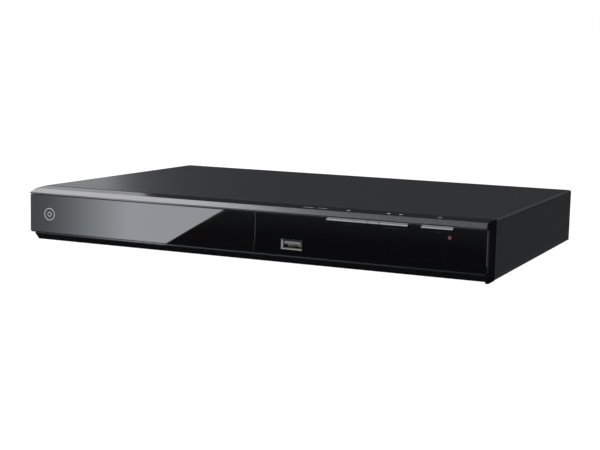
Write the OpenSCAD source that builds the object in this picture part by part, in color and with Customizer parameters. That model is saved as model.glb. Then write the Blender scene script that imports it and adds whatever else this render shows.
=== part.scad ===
// Slim disc player with a motor-driven tray. Millimetres, +Z up, the front faces -Y.
// The origin lies under the middle of the whole part, on the surface that it stands on.
// Inside place(), y is the depth behind the front window's face and z the height over the floor.

/* [Case] */
// Width of the case
body_w = 312; // [306:1:340]
// Depth from the front window's face to the back of the cover
body_d = 210; // [204:1:240]
// Height of the case over its feet
body_h = 35.5; // [35:0.5:44]
// Height of the rubber feet under the case
foot_h = 3; // [2.5:0.5:8]
// Diameter of a foot
foot_dia = 18; // [12:1:26]
// Thickness of the chassis sheet
chassis_t = 0.8; // [0.6:0.1:1.2]
// Thickness of the cover and rear panel sheet
cover_t = 0.7; // [0.5:0.1:1]
// Outer radius of the cover's long bends
cover_bend = 1.6; // [1.2:0.1:3]
// Height of the cover's top over the legend ledge
cover_step = 1.1; // [1:0.1:1.6]
// Depth of the bezel's sides in front of the cover
bezel_d = 16.6; // [16.2:0.1:20]
// Wall of the bezel moulding
bezel_wall = 2; // [1.6:0.1:2.4]
// Thickness of the bezel's raised ends
cheek_t = 1; // [0.8:0.1:1.4]

/* [Front] */
// Thickness of the glossy front window
window_t = 3; // [2.6:0.1:3.4]
// Seam between the tray front and the window, from the middle
seam_x = 9.7; // [4:0.1:10]
// Width of that seam
seam_gap = 0.4; // [0.3:0.1:0.8]
// Height of the tray front and window
panel_h = 24.5; // [24:0.1:25]
// Bottom edge of the tray front and window over the case's base
panel_rise = 6.5; // [5.6:0.1:6.8]
// Run of the bright chamfer, front to back
chamfer_run = 7; // [6:0.5:8]
// Rise of the bright chamfer
chamfer_rise = 2.1; // [1.6:0.1:2.3]
// How far the plinth steps back at its foot
plinth_back = 9.8; // [8:0.2:11]

/* [Keys] */
// Height of a key bar
key_h = 3.5; // [3.2:0.1:3.9]
// How far a key stands out of the window
key_proud = 1.7; // [1:0.1:2.4]
// Travel of a pressed key
key_travel = 0.5; // [0.3:0.1:0.6]
// Distance from the case's right side to the power key
key_end = 20.45; // [16:0.05:24]
// Width of the power key
power_key_w = 18.9; // [16:0.1:20]
// Distance from the power key to the stop and play rocker
power_gap = 8.2; // [6:0.05:12]
// Width of the stop and play rocker
rocker_w = 17.5; // [15:0.1:18]
// Distance between the bars of one group
key_gap = 0.4; // [0.35:0.05:1.4]
// Width of the fixed bar
spacer_w = 6.9; // [5:0.1:8]
// Width of the open key
open_key_w = 25.6; // [20:0.2:26]
// Diameter of the standby light
light_dia = 2.2; // [1.8:0.1:3]
// Distance of the standby light's middle from the power key's right end
light_in = 2.1; // [1:0.05:4]

/* [Sockets] */
// Width of the front port's opening
usb_w = 13.9; // [13.8:0.1:14.6]
// Height of the front port's opening
usb_h = 6.05; // [6:0.05:6.6]
// Distance of the front port's middle from the seam
port_in = 25.05; // [24:0.05:30]
// Outer diameter of a round audio and video jack
jack_dia = 8.3; // [8:0.1:8.6]
// How far the jacks stand out of the rear panel
jack_out = 8; // [6:0.5:10]
// Pitch of the round jacks
jack_pitch = 14; // [12:0.5:15]

/* [Disc tray] */
// Width of the tray
tray_w = 130; // [127:0.5:131]
// Diameter of the recess for a large disc
disc_recess = 122; // [120.5:0.5:123]
// Diameter of the recess for a small disc
small_recess = 82; // [80.5:0.5:84]
// Middle of the disc behind the window's face
disc_y = 70; // [69:0.5:72]
// Travel of the tray
tray_travel = 135; // [100:1:138]
// Height of the tray's underside over the case's base
tray_rise = 16.4; // [16.2:0.1:16.6]
// Thickness of the tray
tray_t = 4.9; // [4.6:0.1:5.2]
// Width of the tray's open slot over the pickup
slot_w = 36; // [34:0.5:38]

/* [Drive] */
// Teeth of the tray gear's small wheel, which drives the rack
rack_gear_teeth = 18; // [16:2:20]
// Module of the rack and that wheel
rack_module = 1; // [0.9:0.05:1.1]
// Module of the first gear pair
train_module = 0.8; // [0.75:0.05:0.85]
// Teeth of the tray gear's large wheel
tray_wheel_teeth = 32; // [28:1:34]
// Teeth of the pulley's pinion
pulley_pinion_teeth = 12; // [12:2:14]
// Distance from the pulley wheel to the loading motor
belt_span = 38; // [34:1:42]
// Radial clearance of a wheel on its post
running_gap = 0.05; // [0.02:0.01:0.08]

/* [Pickup] */
// Angle that the traverse deck drops by
deck_drop = 2.6; // [1:0.1:2.6]
// Travel of the cam slider
cam_travel = 14; // [12:1:16]
// Diameter of the turntable
turntable_dia = 30; // [28:0.5:31]
// Diameter of the guide rods
rod_dia = 3; // [2.6:0.1:3]
// Distance of each guide rod from the middle of the deck
rod_off = 27.5; // [27:0.1:28]
// Travel of the pickup sled
sled_travel = 34; // [30:1:34]

/* [Hidden] */

$fn = 48;
gap = 0.3;              // between pieces that move past each other or seat loosely
seat = 0.1;             // between fixed pieces that fit together
base_z = foot_h;
top_z = foot_h + body_h;
ledge_z = top_z - cover_step;
half_w = body_w / 2;
side_step = 0.4;        // the cover's sides lie this far inside the bezel's
cover_half = half_w - side_step;
cover_lip = 8;          // height of the lip that laps over the rear panel
inner_half = cover_half - cover_t - gap;
floor_z = base_z + chassis_t;
chassis_wall = 10;
chassis_lip = 4;
case_y0 = bezel_d + gap;
panel_y = body_d - cover_t - gap - cover_t;
rear_y = panel_y + cover_t;
jack_end_y = rear_y + jack_out;
face_y = -(jack_end_y - key_proud) / 2;

// Front panels and the profile of the bezel around them
panel_z0 = base_z + panel_rise;
panel_z1 = panel_z0 + panel_h;
tray_front_t = window_t - gap;
window_x0 = seam_x + seam_gap / 2;
tray_front_x1 = seam_x - seam_gap / 2;
lip_z0 = panel_z1 + gap;
lip_z1 = ledge_z - chamfer_rise;
trim_depth = 2.7;
trim_slope = chamfer_rise / chamfer_run;
trim_back_z = ledge_z - 1.5 - trim_slope * (chamfer_run - trim_depth);
function trim_under(y) = trim_back_z + trim_slope * (y - trim_depth) - seat;
wall_y1 = window_t + bezel_wall;
shelf_z = panel_z0 - gap;
shelf_y = 1.5;
plinth_top_y = 5.6;
plinth_top_z = shelf_z - 0.6;
plinth_band_z = plinth_top_z - 1.4;
cheek_foot_y = 4.2;

// Keys, laid out from the right side, their switches and the upright board that carries them
power_key_x = half_w - key_end - power_key_w / 2;
rocker_x = power_key_x - (power_key_w + rocker_w) / 2 - power_gap;
spacer_x = rocker_x - (rocker_w + spacer_w) / 2 - key_gap;
open_key_x = spacer_x - (spacer_w + open_key_w) / 2 - key_gap;
light_x = power_key_x + power_key_w / 2 - light_in;
usb_x = seam_x + port_in;
key_z = lip_z1 - 2.5;              // middle of the key bars
stem_z = key_z - 1.1;
stem_h = 1.5;
stem_w = 3;
board_y = 15.2;
board_t = 1.6;
front_board_z1 = ledge_z - 2.8;
front_board_x = [window_x0 + 8, half_w - 6];
front_board_z = [base_z + 5, front_board_z1];
board_boss_d = 6;
board_hole_in = 5;
switch_face_y = 10.9;
stem_end_y = switch_face_y - key_travel - 0.1;
rocker_pin_y = window_t + 1.6;
rocker_pin_d = 2;
light_z = base_z + 25.25;
usb_z = base_z + 13;
usb_wall = 0.35;
receiver_x = usb_x + usb_w / 2 + 10.7;
receiver_z = base_z + 21;

// Loader: everything is laid out around the disc's middle
loader_x = (tray_front_x1 - half_w) / 2;
slot_half = slot_w / 2;
tray_half = tray_w / 2;
tray_z0 = base_z + tray_rise;
tray_z1 = tray_z0 + tray_t;
tray_hold = 33;         // length of tray that stays in the rails when it is out
tray_y1 = tray_travel + tray_hold;
disc_seat_z = tray_z1 - 2.3;
small_seat_z = disc_seat_z - 1;
flange_out = 2.5;
flange_t = 1.6;
rail_in = tray_half + flange_out + 0.5;
rail_t = 3.5;
frame_half = rail_in + rail_t;
frame_y = [13, tray_y1 + 6];
frame_z0 = floor_z + 1.5;
frame_plate_t = 1.8;
frame_plate_z = frame_z0 + frame_plate_t;
rail_top_z = tray_z1 + 2.7;
front_plate_y1 = 49.5;
tab_l = 12;             // length of a tab that holds the tray's flanges down
tab_t = 1.5;
tab_y = [for (i = [0 : 3]) frame_y[0] + 1 + i * (tray_y1 - tab_l - frame_y[0] - 7) / 3];

// Tray drive
gear_backlash = 0.1;
rack_r = rack_module * rack_gear_teeth / 2;
tray_wheel_r = train_module * tray_wheel_teeth / 2;
pulley_pinion_r = train_module * pulley_pinion_teeth / 2;
rack_line_x = loader_x - 56.5;
drive_y = 28;
tray_gear_x = rack_line_x + rack_r;
pulley_gear_x = tray_gear_x + tray_wheel_r + pulley_pinion_r;
motor_x = pulley_gear_x + belt_span;
rack_z0 = tray_z0 - 2.8;
gear_z0 = frame_plate_z + 1.5;
gear_face = 3;
post_d = 3;
pulley_z0 = gear_z0 + gear_face + 1;
pulley_h = 3;
pulley_r = 12;
motor_pulley_r = 3.6;
groove_d = 1.2;
belt_w = 1.2;
belt_in = 0.3;          // the belt's inner face stands this far off the groove's floor
motor_dia = 22;

// Traverse deck: hinged at the back, carried by the cam slider's slots at the front
rotor_dia = 25;
lens_y = disc_y + 24;
sled_y = [lens_y - 9.5, lens_y + 22];
well_y = [disc_y + rotor_dia / 2 + 0.5, sled_y[1] + sled_travel + 3];
hinge_y = well_y[1] + 9;
hinge_z = base_z + 9;
hinge_pin_d = 4;
deck_half = 46;
deck_y0 = 50.5;
deck_y1 = hinge_y + 2;
deck_z0 = hinge_z - 1.5;
bar_z1 = deck_z0 + 2.5;
window_half = 33;
rod_z = hinge_z + 1.2;
boss_in = deck_half + 2;
boss_out = boss_in + 6;
cam_pin_d = 2.4;
cam_y = [44.6, 47.6];
cam_pin_z = hinge_z + 3.2;
cam_fall = (hinge_y - (cam_y[0] + cam_y[1]) / 2) * sin(deck_drop);
cam_slot = cam_pin_d + 0.5;
cam_pins = [loader_x - 22, loader_x + 22];
cam_z0 = frame_plate_z + gap;
cam_z1 = cam_pin_z + cam_slot / 2 + 1.2;
table_z = tray_z0 + 3.5;            // face that the disc lies on when the deck is up
rotor_z0 = hinge_z + 0.4;
base_plate_z = hinge_z - 0.8;
sled_half = 24;
sled_z = [hinge_z - 2.5, hinge_z + 4.5];
sled_module = 0.6;
sled_gear_teeth = 12;
sled_wheel_module = 0.5;
sled_wheel_teeth = 36;
sled_pinion_teeth = 10;
sled_line_x = loader_x + 38;
sled_gear_x = sled_line_x + sled_module * sled_gear_teeth / 2;
sled_gear_y = sled_y[0] + sled_travel - 0.5;
sled_motor_y = sled_gear_y + sled_wheel_module * (sled_wheel_teeth + sled_pinion_teeth) / 2;
sled_motor_dia = 15.6;
sled_post_d = 2;
sled_wheel_z = bar_z1 + 0.4;
sled_rack_z = [hinge_z + 3.8, hinge_z + 5.6];
bridge_z = rail_top_z;
bridge_t = 1.2;
bridge_y = [disc_y - 18.5, disc_y + 18.5];
bridge_hole_r = 13.5;
clamper_z = tray_z1 + gap;

// Boards: both end at the rear panel, and share the room between the loader and the right wall
standoff_h = 5.2;
standoff_d = 6.4;
pcb_z = floor_z + standoff_h;
pcb_top = pcb_z + board_t;
loader_clear = 8.6;
wall_clear = 6.6;
room_x = [loader_x + frame_half + loader_clear, inner_half - wall_clear];
room_w = room_x[1] - room_x[0];
main_board_w = 0.535 * room_w;
power_board_w = 0.4225 * room_w;
main_board_d = 113.3;
power_board_d = 121.3;
board_y1 = panel_y - 3;
main_board_x = [room_x[0], room_x[0] + main_board_w];
main_board_y = [board_y1 - main_board_d, board_y1];
power_board_x = [room_x[1] - power_board_w, room_x[1]];
power_board_y = [board_y1 - power_board_d, board_y1];
vent_y = [main_board_y[0] + 20, main_board_y[0] + 50];   // slots in the floor under the boards
function on_main(u, v) = [main_board_x[0] + u * main_board_w, main_board_y[0] + v * main_board_d];
function on_power(u, v) = [power_board_x[0] + u * power_board_w, power_board_y[0] + v * power_board_d];
hole_in = 4;
rear_hole_in = 20;      // the rear screws stand in front of the sockets
function board_holes(x, y) = [for (px = [x[0] + hole_in, x[1] - hole_in],
    py = [y[0] + hole_in, y[1] - rear_hole_in]) [px, py]];
board_screw_at = concat(board_holes(main_board_x, main_board_y),
    board_holes(power_board_x, power_board_y));

// Main board: processor under its heat sink, memory, smaller chips and capacitors
processor_w = 24;
processor_t = 1.4;
processor_at = on_main(0.449, 0.38);
sink_base_t = 1.6;
sink_h = 9;
sink_fins = 8;
sink_fin_t = 1.2;
memory_size = [10, 16, 1];
memory_at = on_main(0.738, 0.38);
small_chips = [[on_main(0.449, 0.1765), [8, 6, 1.2]], [on_main(0.159, 0.3354), [10, 8, 1.2]],
    [on_main(0.238, 0.5825), [12, 9, 1.2]]];
can_d = 6.3;
can_h = 8;
can_at = [on_main(0.08, 0.159), on_main(0.08, 0.2295), on_main(0.62, 0.1765), on_main(0.62, 0.2471),
    on_main(0.87, 0.512), on_main(0.659, 0.6443), on_main(0.764, 0.6443), on_main(0.1066, 0.4678)];
tall_can_d = 8;
tall_can_h = 14;
tall_can_at = [on_power(0.2, 0.272), on_power(0.2, 0.3504), on_power(0.2, 0.4287)];

// Power board: transformer, bulk capacitors, fuse and the regulator's heat sink
transformer_at = on_power(0.4, 0.5606);
transformer_base = [24, 22, 3];
transformer_coil = [20, 18, 17];
transformer_core = [26, 8, 19];
bulk_can = [16, 20];    // diameter and height
bulk_can_at = on_power(0.767, 0.7255);
second_can = [12.5, 16];
second_can_at = on_power(0.8, 0.404);
fuse_at = on_power(0.317, 0.775);
fuse_d = 5.2;
fuse_l = 20;
fuse_clip = [4, 6.8, 3];
fuse_z = pcb_top + 4;
regulator_at = on_power(0.533, 0.2473);
regulator_w = 24;
regulator_h = 18;
regulator_t = 2.4;
regulator_fin = 8;

// Sockets at the back
inlet_x = power_board_x[1] - 22;
inlet_w = 28;
inlet_h = 15;
inlet_d = 15.8;
inlet_mouth = [24, 14];
inlet_pin_pitch = 8.6;
hdmi_x = main_board_x[0] + 15.6;
hdmi_size = [15, 6];
hdmi_d = 11;
jack_x = [for (i = [0 : 2]) main_board_x[0] + 32.1 + i * jack_pitch];
jack_z = pcb_top + 7;
jack_hole_d = 3.4;
jack_collar_d = jack_dia + 1.6;   // the collar that fills the panel's hole
jack_collar = 0.6;      // it stands this far out of the panel
socket_gap = 0.2;
jack_block = [14, 14];  // its width round one jack, and its height

// Flat cables, wires and their connectors
ribbon_t = 0.3;
front_plug_y = board_y + board_t + 4;
front_plug_z = base_z + 14;
ribbon_x = main_board_x[1] - 32;
ribbon_w = 20;
plug_over = 2;          // a connector is longer than its cable by this at each end
ribbon_land_y = front_plug_y + 0.55 * (main_board_y[0] - front_plug_y);
main_plug_y = main_board_y[0] + 3.4;
main_plug_z = pcb_top + 3;
plug_h = 5;
main_side_plug_x = main_board_x[0] + 2.6;
loader_plug_x = loader_x + frame_half + 3.6;
main_power_plug_x = main_board_x[1] - 16;
power_plug_x = power_board_x[0] + 2;
loader_plug_y = [board_y1 - rear_hole_in - 33.3, board_y1 - rear_hole_in - 15.3];
harness_y = power_board_y[0] + 23;
harness_plug = [6, 12, 6];
wire_pitch = 2.5;
wire_d = 1.6;
screw_d = 2.9;
screw_hole = 3.2;
cover_screw_x = [for (i = [-1 : 1]) i * (half_w - 36)];
cover_screw_z = top_z - 4.6;
clip_x = [for (i = [-3 : 2 : 3]) i / 3 * (half_w - 36)];
clip_w = 12;
clip_t = 1.2;
clip_y = [case_y0 + 4, case_y0 + 6.6];
foot_in = 30;
foot_at = [for (x = [-1, 1], y = [foot_in + 20, panel_y - foot_in]) [x * (half_w - foot_in), y]];
foot_stem_d = 5.4;
rear_plate_y0 = hinge_y - 12;
loader_screw_at = [for (x = [-1, 1], y = [case_y0 + 6.1, frame_y[1] - 6]) [loader_x + x * 62.5, y]];
bridge_screw_at = [for (x = [-1, 1], y = [bridge_y[0] + 5, bridge_y[1] - 5])
    [loader_x + x * (frame_half - rail_t / 2), y]];
function corners(x, y, inset) = [for (i = [0, 1], j = [0, 1])
    [x[i] + (i == 0 ? inset : -inset), y[j] + (j == 0 ? inset : -inset)]];
board_boss_at = corners(front_board_x, [base_z + 7, front_board_z1 - 3], board_hole_in);

// ---------- shared shapes ----------

module place() translate([0, face_y, 0]) children();

module slab(x, y, z) translate([x[0], y[0], z[0]]) cube([x[1] - x[0], y[1] - y[0], z[1] - z[0]]);

module post(at, z, d) translate([at[0], at[1], z[0]]) cylinder(d = d, h = z[1] - z[0]);

// A round bar along y
module bar_y(x, z, y, d) translate([x, y[0], z]) rotate([-90, 0, 0]) cylinder(d = d, h = y[1] - y[0]);

// A round bar along x
module bar_x(y, z, x, d) translate([x[0], y, z]) rotate([0, 90, 0]) cylinder(d = d, h = x[1] - x[0]);

// Extrudes a (y, z) outline across x
module across(x) translate([x[0], 0, 0]) rotate([90, 0, 90]) linear_extrude(x[1] - x[0]) children();

// Extrudes an (x, z) outline along y
module along(y) translate([0, y[1], 0]) rotate([90, 0, 0]) linear_extrude(y[1] - y[0]) children();

// An upright outline with its two top corners rounded
module round_top(half, z, r) {
    translate([-half, z[0]]) square([2 * half, z[1] - z[0] - r]);
    translate([r - half, z[0]]) square([2 * (half - r), z[1] - z[0]]);
    for (s = [-1, 1]) translate([s * (half - r), z[1] - r]) circle(r);
}

// Involute spur gear outline: one tooth points along +x
function inv_at(base, r) = let (a = acos(min(1, base / r))) tan(a) * 180 / PI - a;
function flank(m, teeth, r) = let (p = m * teeth / 2, base = p * cos(20))
    90 / teeth - gear_backlash / p * 90 / PI + inv_at(base, p) - inv_at(base, max(base, r));
function gear_points(m, teeth) = let (p = m * teeth / 2, root = p - 1.2 * m, tip = p + 0.8 * m,
    base = p * cos(20), low = max(root, base),
    radii = concat([root], [for (k = [0 : 4]) low + (tip - low) * k / 4]))
    [for (i = [0 : teeth - 1], side = [-1, 1], k = [0 : 5])
        let (r = side < 0 ? radii[k] : radii[5 - k], a = 360 / teeth * i + side * flank(m, teeth, r))
        r * [cos(a), sin(a)]];
module gear(m, teeth, h) linear_extrude(h) polygon(gear_points(m, teeth));

// Rack outline: teeth point along +x from the line x = 0, and a space is centred on y = 0
module rack_outline(m, back, y) {
    step = PI * m;
    half_pitch = step / 4 - gear_backlash / 2;
    run = tan(20);
    translate([-back, y[0]]) square([back - 1.2 * m, y[1] - y[0]]);
    for (i = [ceil(y[0] / step) : floor(y[1] / step) - 1]) translate([0, (i + 0.5) * step])
        polygon([[-1.3 * m, -half_pitch - 1.2 * m * run], [-1.2 * m, -half_pitch - 1.2 * m * run],
            [0.8 * m, -half_pitch + 0.8 * m * run], [0.8 * m, half_pitch - 0.8 * m * run],
            [-1.2 * m, half_pitch + 1.2 * m * run], [-1.3 * m, half_pitch + 1.2 * m * run]]);
}

// A pan-head screw standing on z, its shank pointing down
module screw(shank, length, head, head_h) {
    translate([0, 0, -length]) cylinder(d = shank, h = length);
    difference() {
        cylinder(d = head, h = head_h);
        for (a = [0, 90]) rotate(a) translate([-head / 3.6, -0.35, head_h - 0.7]) cube([head / 1.8, 0.7, 1]);
    }
}

// Repeats a shape of unit width as n slots across x, each half as wide as its pitch
module slots(x, n) {
    pitch = (x[1] - x[0]) / n;
    for (i = [0 : n - 1]) translate([x[0] + (i + 0.25) * pitch, 0, 0]) scale([pitch / 2, 1, 1]) children();
}

// ---------- case ----------

module top_cover() color("#38383b") place() difference() {
    along([case_y0, body_d]) round_top(cover_half, [base_z, top_z], cover_bend);
    translate([0, -cover_t, 0]) along([case_y0, body_d])
        round_top(cover_half - cover_t, [base_z - 1, top_z - cover_t], cover_bend - cover_t);
    slab([cover_t - cover_half, cover_half - cover_t], [body_d - cover_t - 1, body_d + 1], [base_z - 1, top_z - cover_lip]);
    for (x = cover_screw_x) bar_y(x, cover_screw_z, [body_d - 2, body_d + 1], screw_hole);
}

module bottom_chassis() color("#a9abad") place() difference() {
    union() {
        slab([-inner_half, inner_half], [case_y0, panel_y - gap], [base_z, floor_z]);
        for (s = [-1, 1]) slab([s < 0 ? -inner_half : inner_half - chassis_t,
            s < 0 ? chassis_t - inner_half : inner_half], [case_y0, panel_y - gap], [base_z, floor_z + chassis_wall]);
        slab([-inner_half, inner_half], [panel_y - gap - chassis_t, panel_y - gap], [base_z, floor_z + chassis_lip]);
        for (p = board_screw_at) post(p, [base_z, pcb_z], standoff_d);
        for (p = loader_screw_at) post(p, [base_z, frame_z0], 11);
    }
    for (p = foot_at) post(p, [base_z - 1, floor_z + 1], foot_stem_d + 2 * seat);
    for (p = concat(board_screw_at, loader_screw_at)) post(p, [base_z - 1, pcb_z + 1], screw_hole);
    for (x = clip_x) slab([x - clip_w / 2 - gap, x + clip_w / 2 + gap], [clip_y[0] - gap, clip_y[1] + gap],
        [base_z - 1, floor_z + 1]);
    slots([power_board_x[0] + 4.5, power_board_x[1] - 7.5], 8) slab([0, 1], vent_y, [base_z - 1, floor_z + 1]);
    slots([main_board_x[0] + 9.5, main_board_x[1] - 12.5], 6) slab([0, 1], vent_y, [base_z - 1, floor_z + 1]);
}

// The rear panel's opening for a socket that stands on a board
module cut_out(x, size) slab([x - size[0] / 2 - socket_gap, x + size[0] / 2 + socket_gap],
    [panel_y - 1, rear_y + 1], [pcb_top - socket_gap, pcb_top + size[1] + socket_gap]);

module rear_panel() color("#9ea0a2") place() difference() {
    slab([-inner_half, inner_half], [panel_y, rear_y], [base_z, top_z - cover_t - gap]);
    for (x = cover_screw_x) bar_y(x, cover_screw_z, [panel_y - 1, rear_y + 1], screw_hole);
    for (x = jack_x) bar_y(x, jack_z, [panel_y - 1, rear_y + 1], jack_collar_d + 2 * seat);
    cut_out(hdmi_x, hdmi_size);
    cut_out(inlet_x, inlet_mouth);
    slots([24 - inner_half, -22], 16) slab([0, 1], [panel_y - 1, rear_y + 1], [base_z + 10, base_z + 26]);
}

module rubber_feet() color("#161616") place() for (p = foot_at) {
    post(p, [0, base_z], foot_dia);
    post(p, [base_z, floor_z + seat], foot_stem_d);
    post(p, [floor_z + seat, floor_z + seat + 1], foot_stem_d + 1.2);
}

module bezel_lower_rail() across([-half_w, half_w]) polygon([[shelf_y, shelf_z - 0.3],
    [shelf_y, shelf_z], [plinth_top_y + 1.6, shelf_z], [plinth_top_y + 1.6, plinth_band_z],
    [plinth_back + 1.6, base_z + bezel_wall], [bezel_d, base_z + bezel_wall], [bezel_d, base_z],
    [plinth_back, base_z], [plinth_top_y, plinth_band_z], [plinth_top_y, plinth_top_z]]);

module bezel_sides() for (s = [-1, 1]) across([s < 0 ? -half_w : half_w - bezel_wall,
    s < 0 ? bezel_wall - half_w : half_w]) polygon([[window_t, shelf_z - 0.2],
    s < 0 ? [plinth_top_y, plinth_top_z] : [cheek_foot_y, base_z],
    s < 0 ? [plinth_top_y, plinth_band_z] : [cheek_foot_y + 1, base_z],
    [plinth_back, base_z], [bezel_d, base_z], [bezel_d, ledge_z],
    [chamfer_run, ledge_z], [chamfer_run, trim_under(chamfer_run)], [window_t, trim_under(window_t)]]);

// The raised ends, which close the chamfer and the ledge off at the sides
module bezel_cheeks() for (s = [-1, 1]) across([s < 0 ? -half_w : half_w - cheek_t,
    s < 0 ? cheek_t - half_w : half_w]) polygon([[0.2, lip_z0], [0.2, lip_z1 - 0.1],
    [0.5, lip_z1 + 0.8], [1.3, lip_z1 + 1.5], [2.5, ledge_z - 0.1], [4.5, ledge_z + 0.45],
    [7, top_z - 0.2], [10, top_z], [bezel_d, top_z], [bezel_d, ledge_z - 1], [window_t + 0.5, lip_z0]]);

module bezel_top() {
    across([-half_w, half_w]) polygon([[window_t, lip_z0 - 1], [window_t, trim_under(window_t)],
        [chamfer_run, trim_under(chamfer_run)], [chamfer_run, ledge_z], [bezel_d, ledge_z],
        [bezel_d, ledge_z - bezel_wall], [9, ledge_z - bezel_wall], [wall_y1, lip_z0 - 1]]);
    slab([-inner_half, inner_half], [bezel_d - 1, bezel_d + 4.4],
        [ledge_z - bezel_wall, top_z - cover_t - gap]);
}

module key_window(x, w) slab([x - w / 2 - gap, x + w / 2 + gap], [-1, wall_y1 + 1],
    [stem_z - stem_h / 2 - gap, stem_z + stem_h / 2 + gap]);

module front_bezel() color("#141416") place() difference() {
    union() {
        bezel_lower_rail();
        bezel_sides();
        bezel_cheeks();
        bezel_top();
        slab([-half_w + 1, half_w - 1], [window_t, wall_y1], [shelf_z - 0.5, lip_z0 - 0.5]);
        for (p = board_boss_at) bar_y(p[0], p[1], [wall_y1 - 0.5, board_y], board_boss_d);
        for (x = clip_x) {
            slab([x - clip_w / 2, x + clip_w / 2], [bezel_d - 1, clip_y[1]], [floor_z + seat, floor_z + seat + clip_t]);
            slab([x - clip_w / 2, x + clip_w / 2], clip_y, [base_z - 0.4, floor_z + seat + clip_t]);
        }
    }
    slab([loader_x - rail_in - 0.4, loader_x + rail_in + 0.4], [window_t - 1, wall_y1 + 1],
        [rack_z0 - 0.5, tray_z1 + 0.8]);
    key_window(open_key_x, 8);
    key_window(power_key_x, 8);
    difference() {
        key_window(rocker_x, rocker_w);
        post([rocker_x, rocker_pin_y], [base_z, top_z], rocker_pin_d);
    }
    for (p = board_boss_at) bar_y(p[0], p[1], [wall_y1 + 1, board_y + 1], 2.4);
    slab([usb_x - usb_w / 2, usb_x + usb_w / 2], [0, wall_y1 + 1], [usb_z - usb_h / 2, usb_z + usb_h / 2]);
    bar_y(light_x, light_z, [0, wall_y1 + 1], light_dia + 2 * gap);
    bar_y(receiver_x, receiver_z, [0, wall_y1 + 1], 9);
}

module key_notch(x, w) slab([x - w / 2 - 0.25, x + w / 2 + 0.25], [-1, window_t + 0.1],
    [key_z - key_h / 2 - 0.25, key_z + key_h / 2 + 0.25]);
module key_notches() {
    key_notch(open_key_x, open_key_w);
    key_notch(rocker_x, rocker_w);
    key_notch(power_key_x, power_key_w);
    key_notch(spacer_x, spacer_w);
}

module chamfer_trim() color("#8f9194") place() difference() {
    across([cheek_t + seat - half_w, half_w - cheek_t - seat]) polygon([[0.3, lip_z0], [0.3, lip_z1 - 0.1], [0, lip_z1],
        [chamfer_run, ledge_z], [chamfer_run, trim_back_z + trim_slope * (chamfer_run - trim_depth)],
        [trim_depth, trim_back_z], [trim_depth, lip_z0]]);
    key_notches();
}

module front_window() color("#0c0c0f") place() difference() {
    translate([0, 0, panel_z0]) linear_extrude(panel_h) polygon([[window_x0, 0.3], [window_x0 + 0.3, 0],
        [half_w - 0.6, 0], [half_w - 0.1, 0.5], [half_w - 0.1, window_t], [window_x0, window_t]]);
    key_notches();
    slab([usb_x - usb_w / 2, usb_x + usb_w / 2], [-1, window_t + 1], [usb_z - usb_h / 2, usb_z + usb_h / 2]);
    bar_y(light_x, light_z, [-1, window_t + 1], light_dia + 0.2);
}

// ---------- disc tray ----------

module tray_front() color("#101013") place() translate([0, 0, panel_z0]) linear_extrude(panel_h)
    polygon([[-half_w + 0.1, 0.5], [-half_w + 0.6, 0], [tray_front_x1 - 0.3, 0], [tray_front_x1, 0.3],
        [tray_front_x1, tray_front_t], [-half_w + 0.1, tray_front_t]]);

module slot_outline() translate([loader_x, disc_y]) {
    circle(slot_half);
    translate([-slot_half, 0]) square([slot_w, tray_y1]);
}

module disc_tray() color("#1c1c1e") place() {
    difference() {
        union() {
            slab([loader_x - tray_half, loader_x + tray_half], [tray_front_t, tray_y1], [tray_z0, tray_z1]);
            slab([loader_x - tray_half - flange_out, loader_x + tray_half + flange_out],
                [frame_y[0] + 3, tray_y1], [tray_z0, tray_z0 + flange_t]);
        }
        post([loader_x, disc_y], [disc_seat_z, tray_z1 + 1], disc_recess);
        post([loader_x, disc_y], [small_seat_z, tray_z1 + 1], small_recess);
        translate([0, 0, tray_z0 - 1]) linear_extrude(tray_t + 2) slot_outline();
        for (s = [-1, 1], y = [-1, 1]) post([loader_x + s * 49, disc_y + y * 42], [disc_seat_z, tray_z1 + 1], 26);
        for (x = [[loader_x - 53, loader_x - slot_half - 2.5], [loader_x + slot_half + 2.5, loader_x + 62.5]])
            slab(x, [disc_y + disc_recess / 2 + 3, tray_y1 - 2.5], [tray_z0 - 1, tray_z1 - 1.6]);
    }
    translate([rack_line_x, drive_y, rack_z0]) linear_extrude(tray_z0 - rack_z0 + 0.1)
        rack_outline(rack_module, 4.5, [-12, tray_y1 - drive_y]);
}

// ---------- keys and front board ----------

module key_bar(x, w) {
    r = 1.2;
    for (z = [key_z - key_h / 2 + r, key_z + key_h / 2 - r])
        bar_x(r - key_proud, z, [x - w / 2, x + w / 2], 2 * r);
    slab([x - w / 2, x + w / 2], [-key_proud, window_t - 1], [key_z - key_h / 2 + r, key_z + key_h / 2 - r]);
    slab([x - w / 2, x + w / 2], [r - key_proud, window_t - 0.6], [key_z - key_h / 2, key_z + key_h / 2]);
}

module key_stem(x) slab([x - stem_w / 2, x + stem_w / 2], [window_t - 1, stem_end_y],
    [stem_z - stem_h / 2, stem_z + stem_h / 2]);

module open_key() color("#8d8f92") place() {
    key_bar(open_key_x, open_key_w);
    key_stem(open_key_x);
}

module key_spacer() color("#8d8f92") place() {
    key_bar(spacer_x, spacer_w);
    slab([spacer_x - 1.5, spacer_x + 1.5], [window_t - 1, window_t], [key_z - 1, key_z + 1]);
}

module stop_play_rocker() color("#8d8f92") place() difference() {
    union() {
        key_bar(rocker_x, rocker_w);
        slab([rocker_x - 2.2, rocker_x + 2.2], [window_t - 1, rocker_pin_y + 2],
            [stem_z - stem_h / 2, stem_z + stem_h / 2]);
        for (s = [-1, 1]) key_stem(rocker_x + 5 * s);
        slab([rocker_x - 6, rocker_x + 6], [wall_y1 + 0.6, wall_y1 + 1.8],
            [stem_z - stem_h / 2, stem_z + stem_h / 2]);
    }
    post([rocker_x, rocker_pin_y], [base_z, stem_z + 2], rocker_pin_d + 2 * running_gap);
}

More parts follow.
